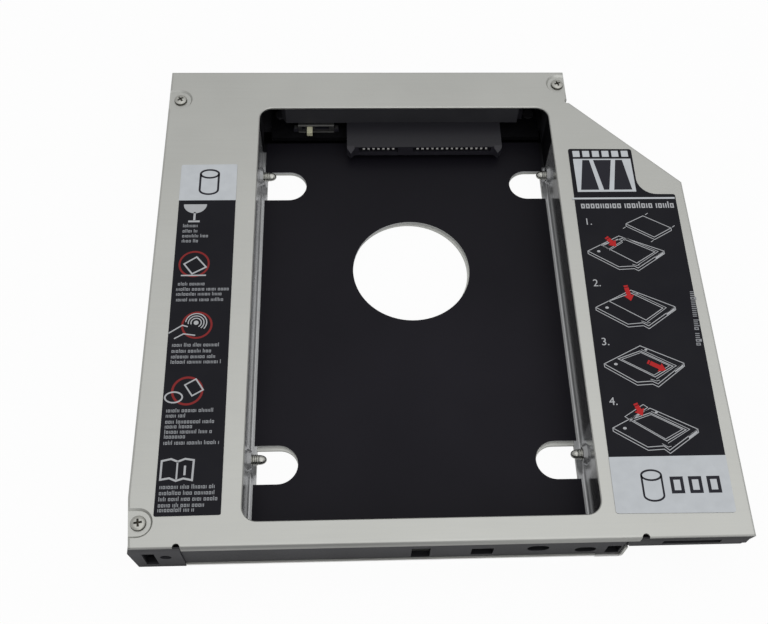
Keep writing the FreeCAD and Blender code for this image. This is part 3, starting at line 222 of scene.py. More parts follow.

# Frame: one black moulding with clip openings in its front wall. Its skin has the fine sparkle of an eroded
# mould, and shade is painted on the space between the covers, where little light reaches.
moulding, moulding_shader, place = new_finish("black_moulding", Specular_IOR_Level=0.35)
grain = place.noise(3200.0, 3.0)
patch = place.noise(70.0, 2.0)
across, along, up = place.part("X"), place.part("Y"), place.part("Z")
# Painted shade: the moulding is coloured darker between the covers, apart from the rear bar behind the bay.
behind_bay = across.band(-0.0370, -0.0362) * across.band(0.0262, 0.0270, 1.0, 0.0)
lit_rear = along.band(0.0495, 0.0505) * behind_bay * 0.95 + along.band(0.0600, 0.0605)
inside = along.band(FRONT_FACE + 0.0004, FRONT_FACE + 0.0006) * (1.0 - lit_rear)
# The front wall is in shade below the lip, at its foot and under the overhang.
overhang = across.band(0.0378, 0.0384) * 0.55
shade = up.band(0.0100, 0.0108) * 0.45 + up.band(0.0015, 0.0075, 0.5, 0.0) \
    + up.band(0.0012, 0.0022, 0.3, 0.0) + overhang
skin = patch.band(0.3, 0.7).between((0.026, 0.026, 0.030, 1.0), (0.036, 0.036, 0.041, 1.0))
shaded = (shade * along.band(-0.0600, -0.0590, 1.0, 0.0)).between(skin, (0.005, 0.005, 0.007, 1.0))
painted_shade_depths = along.band(0.0400, 0.0410).between((0.004, 0.004, 0.006, 1.0), (0.016, 0.016, 0.019, 1.0))
feed(moulding_shader, "Base Color", inside.between(shaded, painted_shade_depths))
feed(moulding_shader, "Roughness", 0.48 + 0.14 * grain)
feed(moulding_shader, "Normal", grain.bumps(0.25, 0.00003))
wear(moulding, nodes["body_frame"])

# Drive tray: a folded aluminium trough whose bright walls are the sides of the bay, with a
# dimple round each drive screw. A strip of its floor stays bare beside the film.
bay_sheet, bay_shader, place = new_finish("bright_bay_sheet", Metallic=0.6)
lines = place.stretched((300.0, 20.0, 2500.0)).noise(1.0, 3.0)
smear = place.noise(60.0, 3.0)
across, along = place.part("X"), place.part("Y")
# The walls are brighter than the strip of floor. A painted reflection darkens the right wall where it would
# mirror the dark film between the slots, and painted shade darkens both ends.
wall_part = place.part("Z").band(0.0014, 0.0020)
between_slots = along.band(-0.0378, -0.0366, 0.15, 1.0) * along.band(0.0300, 0.0310, 1.0, 0.15)
right_wall_painted_reflection = across.band(0.0305, 0.0315) * wall_part * between_slots
rear_end_painted_shade = (along + across.band(-0.001, 0.001, 0.0, 0.0055)).band(0.0452, 0.0458)
bright = smear.band(0.3, 0.7).between((0.62, 0.63, 0.65, 1.0), (0.72, 0.73, 0.75, 1.0))
walled = (0.45 - 0.10 * wall_part).between(bright, (0.20, 0.20, 0.19, 1.0))
walls_with_painted_reflection = (right_wall_painted_reflection * 0.85).between(walled, (0.09, 0.09, 0.09, 1.0))
front_end_painted_shade = along.band(-0.0482, -0.0466, 0.8, 0.0) * wall_part
ends_with_painted_shade = front_end_painted_shade.between(walls_with_painted_reflection, (0.012, 0.012, 0.013, 1.0))
feed(bay_shader, "Base Color", rear_end_painted_shade.between(ends_with_painted_shade, (0.006, 0.006, 0.008, 1.0)))
feed(bay_shader, "Roughness", 0.10 + 0.06 * lines + 0.05 * smear + 0.3 * rear_end_painted_shade)
feed(bay_shader, "Normal", lines.bumps(0.08, 0.00001))
wear(bay_sheet, nodes["drive_tray"])

# Floor film: black insulating film on the tray's floor, dull and very slightly blue. Shade is painted on it
# towards the rear, below the board, where less light reaches it.
film, film_shader, place = new_finish("insulating_film", Specular_IOR_Level=0.12)
lint = place.noise(1500.0, 2.0)
cloud = place.noise(30.0, 3.0)
matt = cloud.band(0.3, 0.7).between((0.0085, 0.0077, 0.0118, 1.0), (0.0120, 0.0109, 0.0160, 1.0))
feed(film_shader, "Base Color",
     place.part("Y").band(-0.02, 0.05, 0.0, 0.6).between(matt, (0.0040, 0.0038, 0.0055, 1.0)))
feed(film_shader, "Roughness", 0.40 + 0.10 * lint)
feed(film_shader, "Normal", lint.bumps(0.05, 0.00001))
wear(film, nodes["floor_film"])

# Adapter board: a circuit board under black lacquer at the rear end of the bay, held by
# two melted pegs of the frame. It carries the socket, the plug and the switch.
board, board_shader, place = new_finish("board_lacquer", Specular_IOR_Level=0.1)
weave = place.noise(900.0, 2.0)
feed(board_shader, "Base Color",
     weave.band(0.35, 0.65).between((0.0015, 0.0015, 0.0020, 1.0), (0.0030, 0.0030, 0.0040, 1.0)))
feed(board_shader, "Roughness", 0.65 + 0.1 * weave)
wear(board, nodes["adapter_board"])

# Drive socket: a black moulded block with two mouths and guiding arms, soldered to the board. Its contacts
# are thin plated strips, with shade painted on their feet in the mouths, so that only their turned tips catch
# the light.
connector, connector_shader, place = new_finish("connector_plastic", Specular_IOR_Level=0.4)
fine = place.noise(2600.0, 2.0)
block = fine.band(0.3, 0.7).between((0.017, 0.016, 0.022, 1.0), (0.025, 0.024, 0.031, 1.0))
# Painted shade: the plastic is coloured darker above 6.5 mm, where the socket's top lies under the rear bar.
feed(connector_shader, "Base Color",
     place.part("Z").band(0.0063, 0.0066).between(block, (0.009, 0.009, 0.012, 1.0)))
feed(connector_shader, "Roughness", 0.38 + 0.12 * fine)
wear(connector, nodes["drive_socket"])

plated, plated_shader, place = new_finish("plated_contacts", Metallic=0.35)
streak = place.noise(4000.0, 2.0)
strip = streak.band(0.3, 0.7).between((0.86, 0.85, 0.82, 1.0), (0.95, 0.94, 0.92, 1.0))
contact_feet_painted_shade = place.part("Z").band(0.0054, 0.0055, 1.0, 0.0) * place.part("Y").band(0.0435, 0.0440, 1.0, 0.0)
feed(plated_shader, "Base Color", contact_feet_painted_shade.between(strip, (0.02, 0.02, 0.02, 1.0)))
feed(plated_shader, "Roughness", 0.30 + 0.1 * streak)
wear(plated, nodes["drive_socket_contacts"])

# Host plug: the same black plastic and plated strips, in the rear side towards the laptop.
wear(connector, nodes["host_plug"])
wear(plated, nodes["host_plug_contacts"])

# Slide switch: a bent metal cap over a moulded base, dark with painted highlights on its edges, and a cream
# lever that slides along a slot in the front of the cap.
cap_metal, cap_shader, place = new_finish("switch_cap_metal", Metallic=0.6)
dull = place.noise(1800.0, 2.0)
CAP_FRONT = 0.05065
# Painted highlight: the upper and lower rims of the cap's front are coloured light.
rim_highlight_bands = place.part("Z").band(0.00560, 0.00566, 0.0, 0.8) + place.part("Z").band(0.00345, 0.00360, 0.7, 0.0)
cap_rim_painted_highlight = place.part("Y").band(CAP_FRONT + 0.0001, CAP_FRONT + 0.0004, 1.0, 0.0) * rim_highlight_bands
dark_cap = dull.band(0.3, 0.7).between((0.06, 0.06, 0.06, 1.0), (0.10, 0.10, 0.10, 1.0))
feed(cap_shader, "Base Color", (cap_rim_painted_highlight * 0.7).between(dark_cap, (0.60, 0.60, 0.58, 1.0)))
feed(cap_shader, "Roughness", 0.30 + 0.12 * dull)
wear(cap_metal, nodes["switch_shell"], nodes["switch_terminals"])
wear(connector, nodes["switch_base"])

cream, cream_shader, place = new_finish("cream_lever")
soft = place.noise(1500.0, 2.0)
ivory = soft.band(0.3, 0.7).between((0.52, 0.51, 0.36, 1.0), (0.60, 0.59, 0.43, 1.0))
# Painted shade: the lever is coloured dark behind the front of the cap, inside the slot.
feed(cream_shader, "Base Color", place.part("Y").band(CAP_FRONT + 0.0001, CAP_FRONT + 0.0003).between(
    ivory, (0.03, 0.03, 0.03, 1.0)))
feed(cream_shader, "Roughness", 0.42 + 0.1 * soft)
wear(cream, nodes["switch_lever"])

# Drive screws and bushes: four set screws of nickel plated steel that hold the drive. Each
# has a rolled thread and a rounded nose, and turns in a six-sided bush behind the bay wall.
MM = 0.001
CADDY_WIDTH = 128.0
CADDY_DEPTH = 126.1


def from_corner(x, y, z=0.0):
    """A place given in millimetres from the front left corner of the underside."""
    return Vector(((x - CADDY_WIDTH / 2) * MM, (y - CADDY_DEPTH / 2) * MM, z * MM))


def close_mesh(piece):
    """Merges doubles, turns every face outwards and leaves the piece unturned at the origin."""
    bpy.ops.object.mode_set(mode="EDIT")
    bpy.ops.mesh.select_all(action="SELECT")
    bpy.ops.mesh.remove_doubles(threshold=0.000001)
    bpy.ops.mesh.normals_make_consistent(inside=False)
    bpy.ops.object.mode_set(mode="OBJECT")
    bpy.ops.object.transform_apply(location=True, rotation=True, scale=True)
    return piece


def grown_bar(name, start, turn, profile, sides):
    """A round bar that grows from a disc: each step of the profile is a length and a radius."""
    bpy.ops.object.select_all(action="DESELECT")
    radius = profile[0][1]
    bpy.ops.mesh.primitive_circle_add(vertices=sides, radius=radius * MM, fill_type="NGON",
                                      location=(0, 0, 0))
    bar = bpy.context.object
    bar.name = name
    bpy.ops.object.mode_set(mode="EDIT")
    bpy.ops.mesh.select_all(action="SELECT")
    for length, end_radius in profile[1:]:
        bpy.ops.mesh.extrude_region_move(TRANSFORM_OT_translate={"value": (0, 0, length * MM)})
        bpy.ops.transform.resize(value=(end_radius / radius, end_radius / radius, 1.0),
                                 center_override=(0, 0, 0))
        radius = end_radius
    bpy.ops.object.mode_set(mode="OBJECT")
    bar.rotation_euler = turn
    bar.location = start
    return close_mesh(bar)


nickel, nickel_shader, place = new_finish("nickel_plate", Metallic=1.0)
rub = place.noise(2200.0, 3.0)
feed(nickel_shader, "Base Color",
     rub.band(0.3, 0.7).between((0.46, 0.46, 0.43, 1.0), (0.60, 0.60, 0.56, 1.0)))
feed(nickel_shader, "Roughness", 0.20 + 0.15 * rub)
wear(nickel, nodes["screw_bushes"])

SCREW_LENGTH = 6.4
SCREW_RADIUS = 1.2
TAIL_RADIUS = 1.05
ROOT_RADIUS = 1.0
THREAD_PITCH = 0.45
THREAD_TURNS = 10
PIN_HEIGHT = 4.4
screw_profile = [(0.0, TAIL_RADIUS)]
screw_profile += [(0.45 * THREAD_PITCH, SCREW_RADIUS), (0.1 * THREAD_PITCH, SCREW_RADIUS),
                  (0.45 * THREAD_PITCH, ROOT_RADIUS)] * THREAD_TURNS
screw_profile += [(0.1, 1.08), (0.65, 1.0), (0.45, 0.84), (0.3, 0.62), (0.18, 0.36), (0.07, 0.14)]
plain_tail = SCREW_LENGTH - sum(length for length, radius in screw_profile)
screw_profile.insert(1, (plain_tail, TAIL_RADIUS))
# Corner, bay wall, distance from the front, reach past the wall, and the side that it points to.
DRIVE_SCREWS = (("front_left", 23.2, 21.6, 4.0, 1), ("rear_left", 23.2, 98.2, 4.0, 1),
                ("front_right", 97.0, 21.6, 3.3, -1), ("rear_right", 97.0, 98.2, 3.3, -1))
for corner, wall_x, hole_y, reach, side in DRIVE_SCREWS:
    tail = from_corner(wall_x + side * (reach - SCREW_LENGTH), hole_y, PIN_HEIGHT)
    screw = grown_bar("drive_screw_threaded_" + corner, tail, (0, side * math.pi / 2, 0), screw_profile, 28)
    bpy.ops.object.shade_smooth_by_angle(angle=math.radians(50))
    wear(nickel, screw)
    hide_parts("drive_screw_" + corner)
    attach(screw, "screw_" + corner)

# Upper cover: pressed from the same sheet, with the window, the folded edges and lip, and
# a pressed recess for each of its three screws.
wear(cover_sheet, nodes["top_cover"])

# Cover screws: three nickel plated pan head screws with a cross recess, one in each
# pressed recess of the upper cover.
screw_plate, plate_shader, place = new_finish("dull_screw_plate", Metallic=1.0)
stain = place.noise(2000.0, 3.0)
plate = stain.band(0.3, 0.7).between((0.48, 0.48, 0.445, 1.0), (0.60, 0.60, 0.56, 1.0))
# Painted shade: below 12.56 mm the plating is coloured near black, for the floor of the cross and the foot of
# the head's rim.
feed(plate_shader, "Base Color", place.part("Z").band(0.01256, 0.01270, 1.0, 0.0).between(
    plate, (0.06, 0.055, 0.045, 1.0)))
feed(plate_shader, "Roughness", 0.36 + 0.15 * stain)

HEAD_SEAT = 12.2
HEAD_RADIUS = 1.6
HEAD_PROFILE = [(0.0, HEAD_RADIUS), (0.22, HEAD_RADIUS), (0.2, 1.54), (0.16, 1.38), (0.12, 1.1),
                (0.06, 0.75), (0.03, 0.3)]
SHANK_LENGTH = 6.0
SHANK_RADIUS = 0.8
CROSS_LENGTH = 2.15
CROSS_WIDTH = 0.5
BLADE_HEIGHT = 0.9
BLADE_MIDDLE = 12.95
for index, (x, y, degrees) in enumerate(((2.6, 5.3, 8), (2.9, 116.7, 35), (100.4, 121.8, 20))):
    head = grown_bar("cover_screw_pan_head_%d" % (index + 1), from_corner(x, y, HEAD_SEAT), (0, 0, 0),
                     HEAD_PROFILE, 40)
    # Two crossed blades, narrower at their foot, cut the cross.
    for quarter in (0, 90):
        bpy.ops.object.select_all(action="DESELECT")
        bpy.ops.mesh.primitive_cube_add(size=1.0, location=from_corner(x, y, BLADE_MIDDLE),
                                        rotation=(0, 0, math.radians(degrees + quarter)))
        blade = bpy.context.object
        blade.scale = (CROSS_LENGTH * MM, CROSS_WIDTH * MM, BLADE_HEIGHT * MM)
        bpy.ops.object.transform_apply(location=False, rotation=False, scale=True)
        bpy.ops.object.mode_set(mode="EDIT")
        bpy.ops.mesh.select_mode(type="FACE")
        bpy.ops.mesh.select_all(action="DESELECT")
        bpy.ops.object.mode_set(mode="OBJECT")
        for face in blade.data.polygons:
            face.select = face.normal.z < -0.9
        bpy.ops.object.mode_set(mode="EDIT")
        bpy.ops.transform.resize(value=(0.6, 0.8, 1.0), orient_type="LOCAL")
        bpy.ops.object.mode_set(mode="OBJECT")
        bpy.ops.object.select_all(action="DESELECT")
        head.select_set(True)
        bpy.context.view_layer.objects.active = head
        cut = head.modifiers.new("cross", "BOOLEAN")
        cut.operation = "DIFFERENCE"
        cut.solver = "EXACT"
        cut.object = blade
        bpy.ops.object.modifier_apply(modifier="cross")
        bpy.data.objects.remove(blade)
    close_mesh(head)
    shank = grown_bar("cover_screw_shank_%d" % (index + 1), from_corner(x, y, HEAD_SEAT - SHANK_LENGTH),
                      (0, 0, 0), [(0.0, SHANK_RADIUS), (SHANK_LENGTH, SHANK_RADIUS)], 24)
    bpy.ops.object.select_all(action="DESELECT")
    shank.select_set(True)
    head.select_set(True)
    bpy.context.view_layer.objects.active = head
    bpy.ops.object.join()
    bpy.ops.object.shade_smooth_by_angle(angle=math.radians(35))
    wear(screw_plate, head)
    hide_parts("cover_screws")
    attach(head, "caddy")

# Left label: a black film with a pale head, stuck on slightly out of square. Its print is
# thin pale, white and red ink: plain pictures, rings and rows of thin bars and small boxes.
def label_ink(name, colour, roughness):
    """Flat ink with a faint cloudiness."""
    ink, ink_shader, place = new_finish(name, Specular_IOR_Level=0.2)
    cloud = place.noise(400.0, 2.0)
    low = tuple(0.93 * part for part in colour)
    feed(ink_shader, "Base Color", cloud.band(0.3, 0.7).between((*low, 1.0), (*colour, 1.0)))
    feed(ink_shader, "Roughness", roughness + 0.08 * cloud)
    return ink


def box_outline(x0, x1, y0, y1):
    """An upright rectangle, as a list of corners."""
    return [(x0, y0), (x1, y0), (x1, y1), (x0, y1)]


def oval(x, y, rx, ry, start=0.0, end=360.0, count=40):
    """Points on an ellipse, between two angles."""
    steps = count if end - start >= 360.0 else count + 1
    return [(x + rx * math.cos(math.radians(start + (end - start) * step / count)),
             y + ry * math.sin(math.radians(start + (end - start) * step / count))) for step in range(steps)]


def drawn_line(points, width, closed=False):
    """A line of even width: its outlines, one for an open line and two for a closed one."""
    count = len(points)
    left, right = [], []
    for index in range(count):
        here = Vector(points[index])
        before = Vector(points[index - 1]) if closed or index > 0 else None
        after = Vector(points[(index + 1) % count]) if closed or index < count - 1 else None
        first = (here - before).normalized() if before is not None else (after - here).normalized()
        second = (after - here).normalized() if after is not None else first
        along = (first + second).normalized()
        across = Vector((-along.y, along.x))
        reach = 0.5 * width / max(0.35, across.dot(Vector((-first.y, first.x))))
        left.append(tuple(here + across * reach))
        right.append(tuple(here - across * reach))
    if closed:
        return [left, right]
    return [left + right[::-1]]


def bar_row(x0, x1, y, height, thin, seed):
    """A row of thin upright bars and small hollow boxes, with gaps between groups."""
    draw = random.Random(seed)
    outlines = []
    x = x0
    low = y - 0.42 * height
    box_top = low + 0.68 * height
    left_in_group = draw.randint(4, 10)
    while x < x1 - thin:
        bar_top = low + height * draw.choice((0.68, 0.68, 0.68, 0.95))
        if draw.random() < 0.35:
            width = 3.0 * thin
            outlines.append(box_outline(x, x + width, low, box_top))
            outlines.append(box_outline(x + thin, x + 2.0 * thin, low + thin, box_top - thin))
        else:
            width = thin
            outlines.append(box_outline(x, x + width, low, bar_top))
        left_in_group -= 1
        x += width + thin * (3.0 if left_in_group == 0 else 0.95)
        if left_in_group == 0:
            left_in_group = draw.randint(4, 10)
    return outlines


LABEL_TOP = 12.8
INK_THICKNESS = 0.01


def ink_middle(level):
    """The middle height of a layer of ink, the first being level 0."""
    return LABEL_TOP + (level + 0.5) * INK_THICKNESS


def film_print(name, ink, level, shapes):
    """Prints shapes on a film: each is a list of outlines, an inner one being a hole."""
    bpy.ops.object.select_all(action="DESELECT")
    for outlines in shapes:
        flat = bpy.data.curves.new(name, "CURVE")
        flat.dimensions = "2D"
        flat.fill_mode = "BOTH"
        flat.extrude = 0.5 * INK_THICKNESS * MM
        for outline in outlines:
            spline = flat.splines.new("POLY")
            spline.points.add(len(outline) - 1)
            for point, (x, y) in zip(spline.points, outline):
                point.co = (*from_corner(x, y), 1.0)
            spline.use_cyclic_u = True
        shape = bpy.data.objects.new(name, flat)
        bpy.context.collection.objects.link(shape)
        shape.select_set(True)
        bpy.context.view_layer.objects.active = shape
    bpy.ops.object.convert(target="MESH")
    if len(shapes) > 1:
        bpy.ops.object.join()
    print_piece = bpy.context.object
    print_piece.name = name
    print_piece.location.z = ink_middle(level) * MM
    close_mesh(print_piece)
    wear(ink, print_piece)
    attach(print_piece, "caddy")


label_black, label_shader, place = new_finish("label_film", Specular_IOR_Level=0.12)
sheen = place.noise(120.0, 2.0)
feed(label_shader, "Base Color",
     sheen.band(0.3, 0.7).between((0.0085, 0.0085, 0.0125, 1.0), (0.0115, 0.0115, 0.0155, 1.0)))
feed(label_shader, "Roughness", 0.42 + 0.08 * sheen)
wear(label_black, nodes["left_label"], nodes["right_label"])
pale_ink = label_ink("pale_panel_ink", (0.617, 0.647, 0.678), 0.36)
white_ink = label_ink("white_line_ink", (0.50, 0.51, 0.53), 0.40)
grey_ink = label_ink("grey_row_ink", (0.31, 0.32, 0.34), 0.42)
ring_ink = label_ink("red_ring_ink", (0.26, 0.020, 0.020), 0.38)
arrow_ink = label_ink("red_arrow_ink", (0.52, 0.016, 0.018), 0.38)
black_ink = label_ink("black_ink", (0.016, 0.016, 0.024), 0.38)


def drum_lines(x, y, rx, ry, wall_y, base_y, width):
    """A plain drum: its top oval, its sides and the curve of its base."""
    base_ry = wall_y - base_y
    body = [(x - rx, y)] + oval(x, wall_y, rx, base_ry, 180.0, 360.0, 20) + [(x + rx, y)]
    return [drawn_line(oval(x, y, rx, ry), width, True), drawn_line(body, width)]


film_print("left_label_head", pale_ink, 0, [[[
    (4.86, 84.9), (18.42, 84.9), (18.33, 95.35), (18.3, 95.5), (18.21, 95.62), (18.05, 95.72), (17.9, 95.74),
    (5.2, 95.63), (5.05, 95.6), (4.92, 95.52), (4.82, 95.4), (4.77, 95.2)]]])
film_print("left_label_drum", black_ink, 1, drum_lines(11.8, 92.8, 2.2, 1.2, 88.0, 86.7, 0.5))

left_pictures = [
    # a stemmed glass
    [[(6.2, 83.7)] + oval(8.9, 83.7, 2.75, 2.6, 180.0, 360.0, 20)[1:]],
    [box_outline(8.65, 9.15, 78.9, 81.4)],
    [box_outline(7.5, 10.2, 78.5, 79.0)],
    # a tilted block over a line
    drawn_line([(7.4, 66.8), (10.2, 68.7), (12.5, 65.9), (9.4, 64.1)], 0.36, True),
    [box_outline(6.9, 12.6, 63.5, 63.85)],
    # a dot with three arcs and two bent lines
    [oval(11.2, 51.2, 0.55, 0.55, count=16)],
    drawn_line(oval(11.2, 51.2, 1.15, 1.15, -60.0, 200.0, 20), 0.24),
    drawn_line(oval(11.2, 51.2, 1.75, 1.75, -50.0, 190.0, 24), 0.24),
    drawn_line(oval(11.2, 51.2, 2.35, 2.35, -40.0, 175.0, 28), 0.24),
    drawn_line([(5.3, 48.6), (8.2, 50.6), (9.4, 50.2)], 0.3),
    drawn_line([(6.6, 47.2), (8.6, 48.4), (11.2, 48.0)], 0.3),
    # a block beside an oval
    drawn_line([(9.8, 35.8), (12.1, 37.2), (13.8, 34.6), (11.5, 33.2)], 0.32, True),
    drawn_line(oval(7.6, 32.9, 1.85, 1.25, 35.0, 395.0, 32), 0.34, True),
    # an open book with a bar on one page
    drawn_line([(6.3, 18.4), (8.2, 18.8), (9.6, 18.2), (11.1, 18.8), (12.9, 18.5), (12.8, 14.1), (11.0, 14.5),
                (9.5, 14.0), (8.1, 14.6), (6.3, 14.3)], 0.42, True),
    [box_outline(9.4, 9.75, 14.2, 18.2)],
    [box_outline(10.95, 11.4, 15.2, 17.3)],
]
film_print("left_label_pictures", white_ink, 1, left_pictures)

ROW_HEIGHT = 0.98
ROW_LINE = 0.165
row_ends = [(77.5, 6.4, 9.9), (76.0, 6.4, 10.0), (74.6, 6.4, 12.7), (73.2, 6.4, 10.2), (61.4, 6.4, 12.5),
            (60.0, 6.1, 18.2), (58.7, 6.2, 16.1), (57.2, 6.3, 16.6), (45.6, 6.3, 16.6), (44.1, 6.3, 14.9),
            (42.7, 6.3, 15.9), (41.4, 6.3, 17.5), (29.8, 6.3, 16.4), (28.6, 6.3, 10.4), (27.2, 6.3, 16.3),
            (26.1, 6.3, 12.6), (24.9, 6.3, 15.9), (23.8, 6.3, 11.3), (22.4, 6.3, 17.9), (12.7, 6.3, 17.6),
            (11.4, 6.3, 18.1), (10.1, 6.3, 18.1), (8.8, 6.3, 15.8), (7.8, 6.3, 13.9)]
film_print("left_label_rows", grey_ink, 0,
           [bar_row(x0, x1, y, ROW_HEIGHT, ROW_LINE, index) for index, (y, x0, x1) in enumerate(row_ends)])
film_print("left_label_rings", ring_ink, 0,
           [drawn_line(oval(9.7, 66.8, 3.35, 3.35), 0.45, True),
            drawn_line(oval(11.4, 50.6, 3.25, 3.25), 0.45, True),
            drawn_line(oval(10.4, 34.4, 3.2, 3.2), 0.5, True)])

# Right label: a wider black film with a pale foot and a pale framed head. Its ink shows four
# plain outlines of a caddy with numerals and red arrows, and rows of thin bars and boxes.
film_print("right_label_foot", pale_ink, 0, [[[
    (99.8, 17.5), (99.68, 5.71), (99.73, 5.53), (99.83, 5.38), (99.97, 5.25), (100.12, 5.19), (100.3, 5.16),
    (124.1, 4.91), (124.28, 4.94), (124.44, 5.01), (124.58, 5.12), (124.68, 5.28), (124.73, 5.54),
    (124.86, 17.5)]]])
film_print("right_label_drum", black_ink, 1,
           drum_lines(108.2, 13.3, 2.1, 1.1, 8.9, 7.7, 0.42)
           + [[box_outline(x, x + 2.8, 9.2, 12.9), box_outline(x + 0.7, x + 2.1, 9.9, 12.2)]
              for x in (112.0, 115.9, 119.8)])
film_print("right_label_head", pale_ink, 0,
           [[box_outline(101.6, 116.1, 86.7, 96.9)], [box_outline(99.95, 125.3, 84.45, 84.95)]]
           + [[box_outline(x, x + 1.75, 97.5, 99.4)] for x in (101.7, 104.15, 106.6, 109.05, 111.5, 113.95)])
film_print("right_label_head_wedges", black_ink, 1,
           [[[(102.5, 87.3), (107.0, 87.3), (105.6, 96.5), (103.9, 96.5)]],
            [[(108.2, 87.3), (109.5, 87.3), (111.1, 96.5), (106.6, 96.5)]],
            [[(110.7, 87.3), (115.2, 87.3), (113.9, 96.5), (112.2, 96.5)]]])

DRAWING_LINE = 0.18
EDGE_LINE = 0.17
TICK_LINE = 0.16
BAR_LINE = 0.15
DRIVE_LINE = 0.14
FINE_LINE = 0.13
SLAB_THICKNESS = 0.75
# Each drawing of the caddy has the outline of its upper side and that of its bay.
DRAWINGS = [
    ([(101.9, 69.4), (109.9, 73.6), (120.1, 69.2), (113.2, 64.5), (112.3, 65.1), (108.7, 64.9)],
     [(105.3, 71.1), (110.6, 72.9), (117.9, 69.0), (113.1, 65.9)]),
    ([(101.8, 54.0), (110.6, 58.5), (120.2, 53.9), (113.3, 49.0), (112.1, 49.8), (108.6, 49.5)],
     [(105.1, 55.6), (110.5, 57.7), (117.3, 53.6), (112.9, 50.5)]),
    ([(101.8, 39.5), (110.5, 43.9), (119.7, 39.4), (113.1, 34.4), (111.9, 35.1), (108.5, 34.9)],
     [(105.1, 40.7), (110.3, 42.6), (117.1, 38.7), (112.7, 36.1)]),
    ([(101.6, 24.1), (110.4, 28.6), (120.0, 23.5), (113.1, 18.8), (112.0, 19.8), (108.5, 19.6)],
     [(105.6, 25.9), (110.2, 27.5), (117.4, 23.4), (112.8, 20.9)]),
]
caddy_lines = []
for outer, inner in DRAWINGS:
    caddy_lines.append(drawn_line(outer, DRAWING_LINE, True))
    caddy_lines.append(drawn_line(inner, DRAWING_LINE, True))
    bay_rear, bay_right, bay_front = inner[1:]
    caddy_lines.append(drawn_line([(bay_rear[0] + 0.3, bay_rear[1] + 0.35),
                                   (bay_right[0] + 0.8, bay_right[1] + 0.1),
                                   (bay_front[0] + 0.2, bay_front[1] - 0.5)], FINE_LINE))
    left, rear, right, front, notch, turn_point = outer
    lower = [(x, y - SLAB_THICKNESS) for x, y in (left, turn_point, notch, front, right)]
    caddy_lines.append(drawn_line([left] + lower + [right], EDGE_LINE))
    caddy_lines.append([[(right[0] - 2.3, right[1] - 1.5), (right[0] - 0.2, right[1] - 0.1),
                         (right[0] - 0.2, right[1] - 0.75), (right[0] - 2.3, right[1] - 2.2)]])
    caddy_lines.append(drawn_line([(notch[0] - 0.3, notch[1] + 0.5), (front[0] - 0.2, front[1] + 0.7),
                                   (front[0] + 0.5, front[1] + 0.9)], FINE_LINE))
    caddy_lines.append([oval(left[0] + 2.6, left[1] - 0.1, 0.42, 0.3, count=12)])
    caddy_lines.append([oval(rear[0] + 1.2, rear[1] - 1.0, 0.34, 0.24, count=12)])
# The last two drawings have a drive in the bay, and the first and last a loose side bar.
for outer, inner in DRAWINGS[2:]:
    middle = sum((Vector(point) for point in inner), Vector((0.0, 0.0))) / len(inner)
    drive = [tuple(middle + 0.87 * (Vector(point) - middle)) for point in inner]
    caddy_lines.append(drawn_line(drive, DRIVE_LINE, True))
for side_bar in ([(105.7, 70.9), (109.5, 72.7), (110.6, 72.2), (107.1, 69.95)],
                 [(104.6, 26.7), (109.0, 29.5), (109.9, 28.8), (105.5, 26.0)]):
    caddy_lines.append(drawn_line(side_bar, BAR_LINE, True))
    caddy_lines.append(drawn_line([(x, y - 0.4) for x, y in (side_bar[3], side_bar[2])], FINE_LINE))
# A drive hangs over the first drawing, with a short tick at each corner.
slab_corners = [(112.1, 77.1), (116.6, 79.4), (122.9, 75.8), (118.4, 73.2)]
caddy_lines.append(drawn_line(slab_corners, DRAWING_LINE, True))
caddy_lines.append(drawn_line([slab_corners[0], (112.1, 76.4), (118.4, 72.5), (122.9, 75.1),
                               slab_corners[2]], EDGE_LINE))
for x, y, way in ((117.2, 79.7, 1), (123.2, 76.0, 1), (111.9, 76.2, -1), (118.1, 72.3, -1)):
    caddy_lines.append(drawn_line([(x, y), (x + 0.7 * way, y + 0.5 * way)], TICK_LINE))
film_print("right_label_drawings", white_ink, 1, caddy_lines)
film_print("right_label_heading", white_ink, 0, [bar_row(101.9, 124.6, 82.6, 2.0, 0.3, 77)])

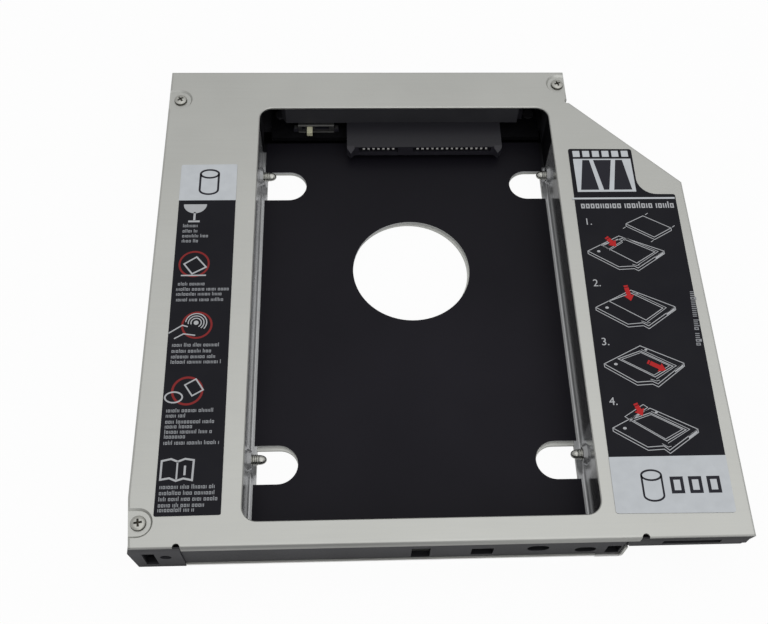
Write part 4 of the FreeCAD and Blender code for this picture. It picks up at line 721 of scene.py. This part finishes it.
SIDE_ROW_FRONT = 43.8
SIDE_ROW_REAR = 58.2
side_blocks = []
draw = random.Random(5)
step_y = SIDE_ROW_FRONT
while step_y < SIDE_ROW_REAR:
    low_x = 123.4 + (step_y - 43.7) * 0.065
    length = draw.choice((0.22, 0.22, 0.7))
    side_blocks.append(box_outline(low_x, low_x + draw.choice((1.0, 1.0, 1.35)), step_y, step_y + length))
    if length > 0.5:
        side_blocks.append(box_outline(low_x + 0.22, low_x + 0.78, step_y + 0.22, step_y + 0.48))
    step_y += length + draw.choice((0.28, 0.28, 0.28, 0.8))
film_print("right_label_side_row", grey_ink, 0, [side_blocks])


ARROW_WIDTH = 1.5
NUMERAL_SIZE = 2.7


def red_arrow(start, end):
    """A short thick arrow from one point to another, with its tail as a bar of its own."""
    tail, tip = Vector(start), Vector(end)
    along = (tip - tail).normalized()
    across = Vector((-along.y, along.x)) * ARROW_WIDTH
    neck = tip - along * min(1.5, 0.55 * (tip - tail).length)
    tail_end = tail + along * 0.45
    shaft = tail_end + along * 0.16
    tail_bar = [tail + across * 0.34, tail - across * 0.34,
                tail_end - across * 0.34, tail_end + across * 0.34]
    arrow = [shaft + across * 0.36, shaft - across * 0.36, neck - across * 0.36, neck - across * 0.8, tip,
             neck + across * 0.8, neck + across * 0.36]
    return [[tuple(point) for point in tail_bar], [tuple(point) for point in arrow]]


film_print("right_label_arrows", arrow_ink, 2,
           [red_arrow((106.8, 73.3), (108.9, 70.6)), red_arrow((109.5, 59.8), (110.2, 55.6)),
            red_arrow((111.6, 39.9), (115.4, 37.7)), red_arrow((107.3, 29.8), (108.5, 26.8))])

for number, x, y in ((1, 103.05, 77.75), (2, 102.9, 60.45), (3, 102.8, 45.0), (4, 102.6, 30.3)):
    bpy.ops.object.select_all(action="DESELECT")
    bpy.ops.object.text_add(location=(0, 0, 0))
    numeral = bpy.context.object
    numeral.name = "right_label_numeral_%d" % number
    numeral.data.body = "%d." % number
    numeral.data.size = NUMERAL_SIZE * MM
    numeral.data.extrude = 0.5 * INK_THICKNESS * MM
    numeral.data.align_x = "CENTER"
    numeral.data.align_y = "CENTER"
    bpy.ops.object.convert(target="MESH")
    numeral.location = from_corner(x, y, ink_middle(1))
    close_mesh(numeral)
    wear(white_ink, numeral)
    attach(numeral, "caddy")
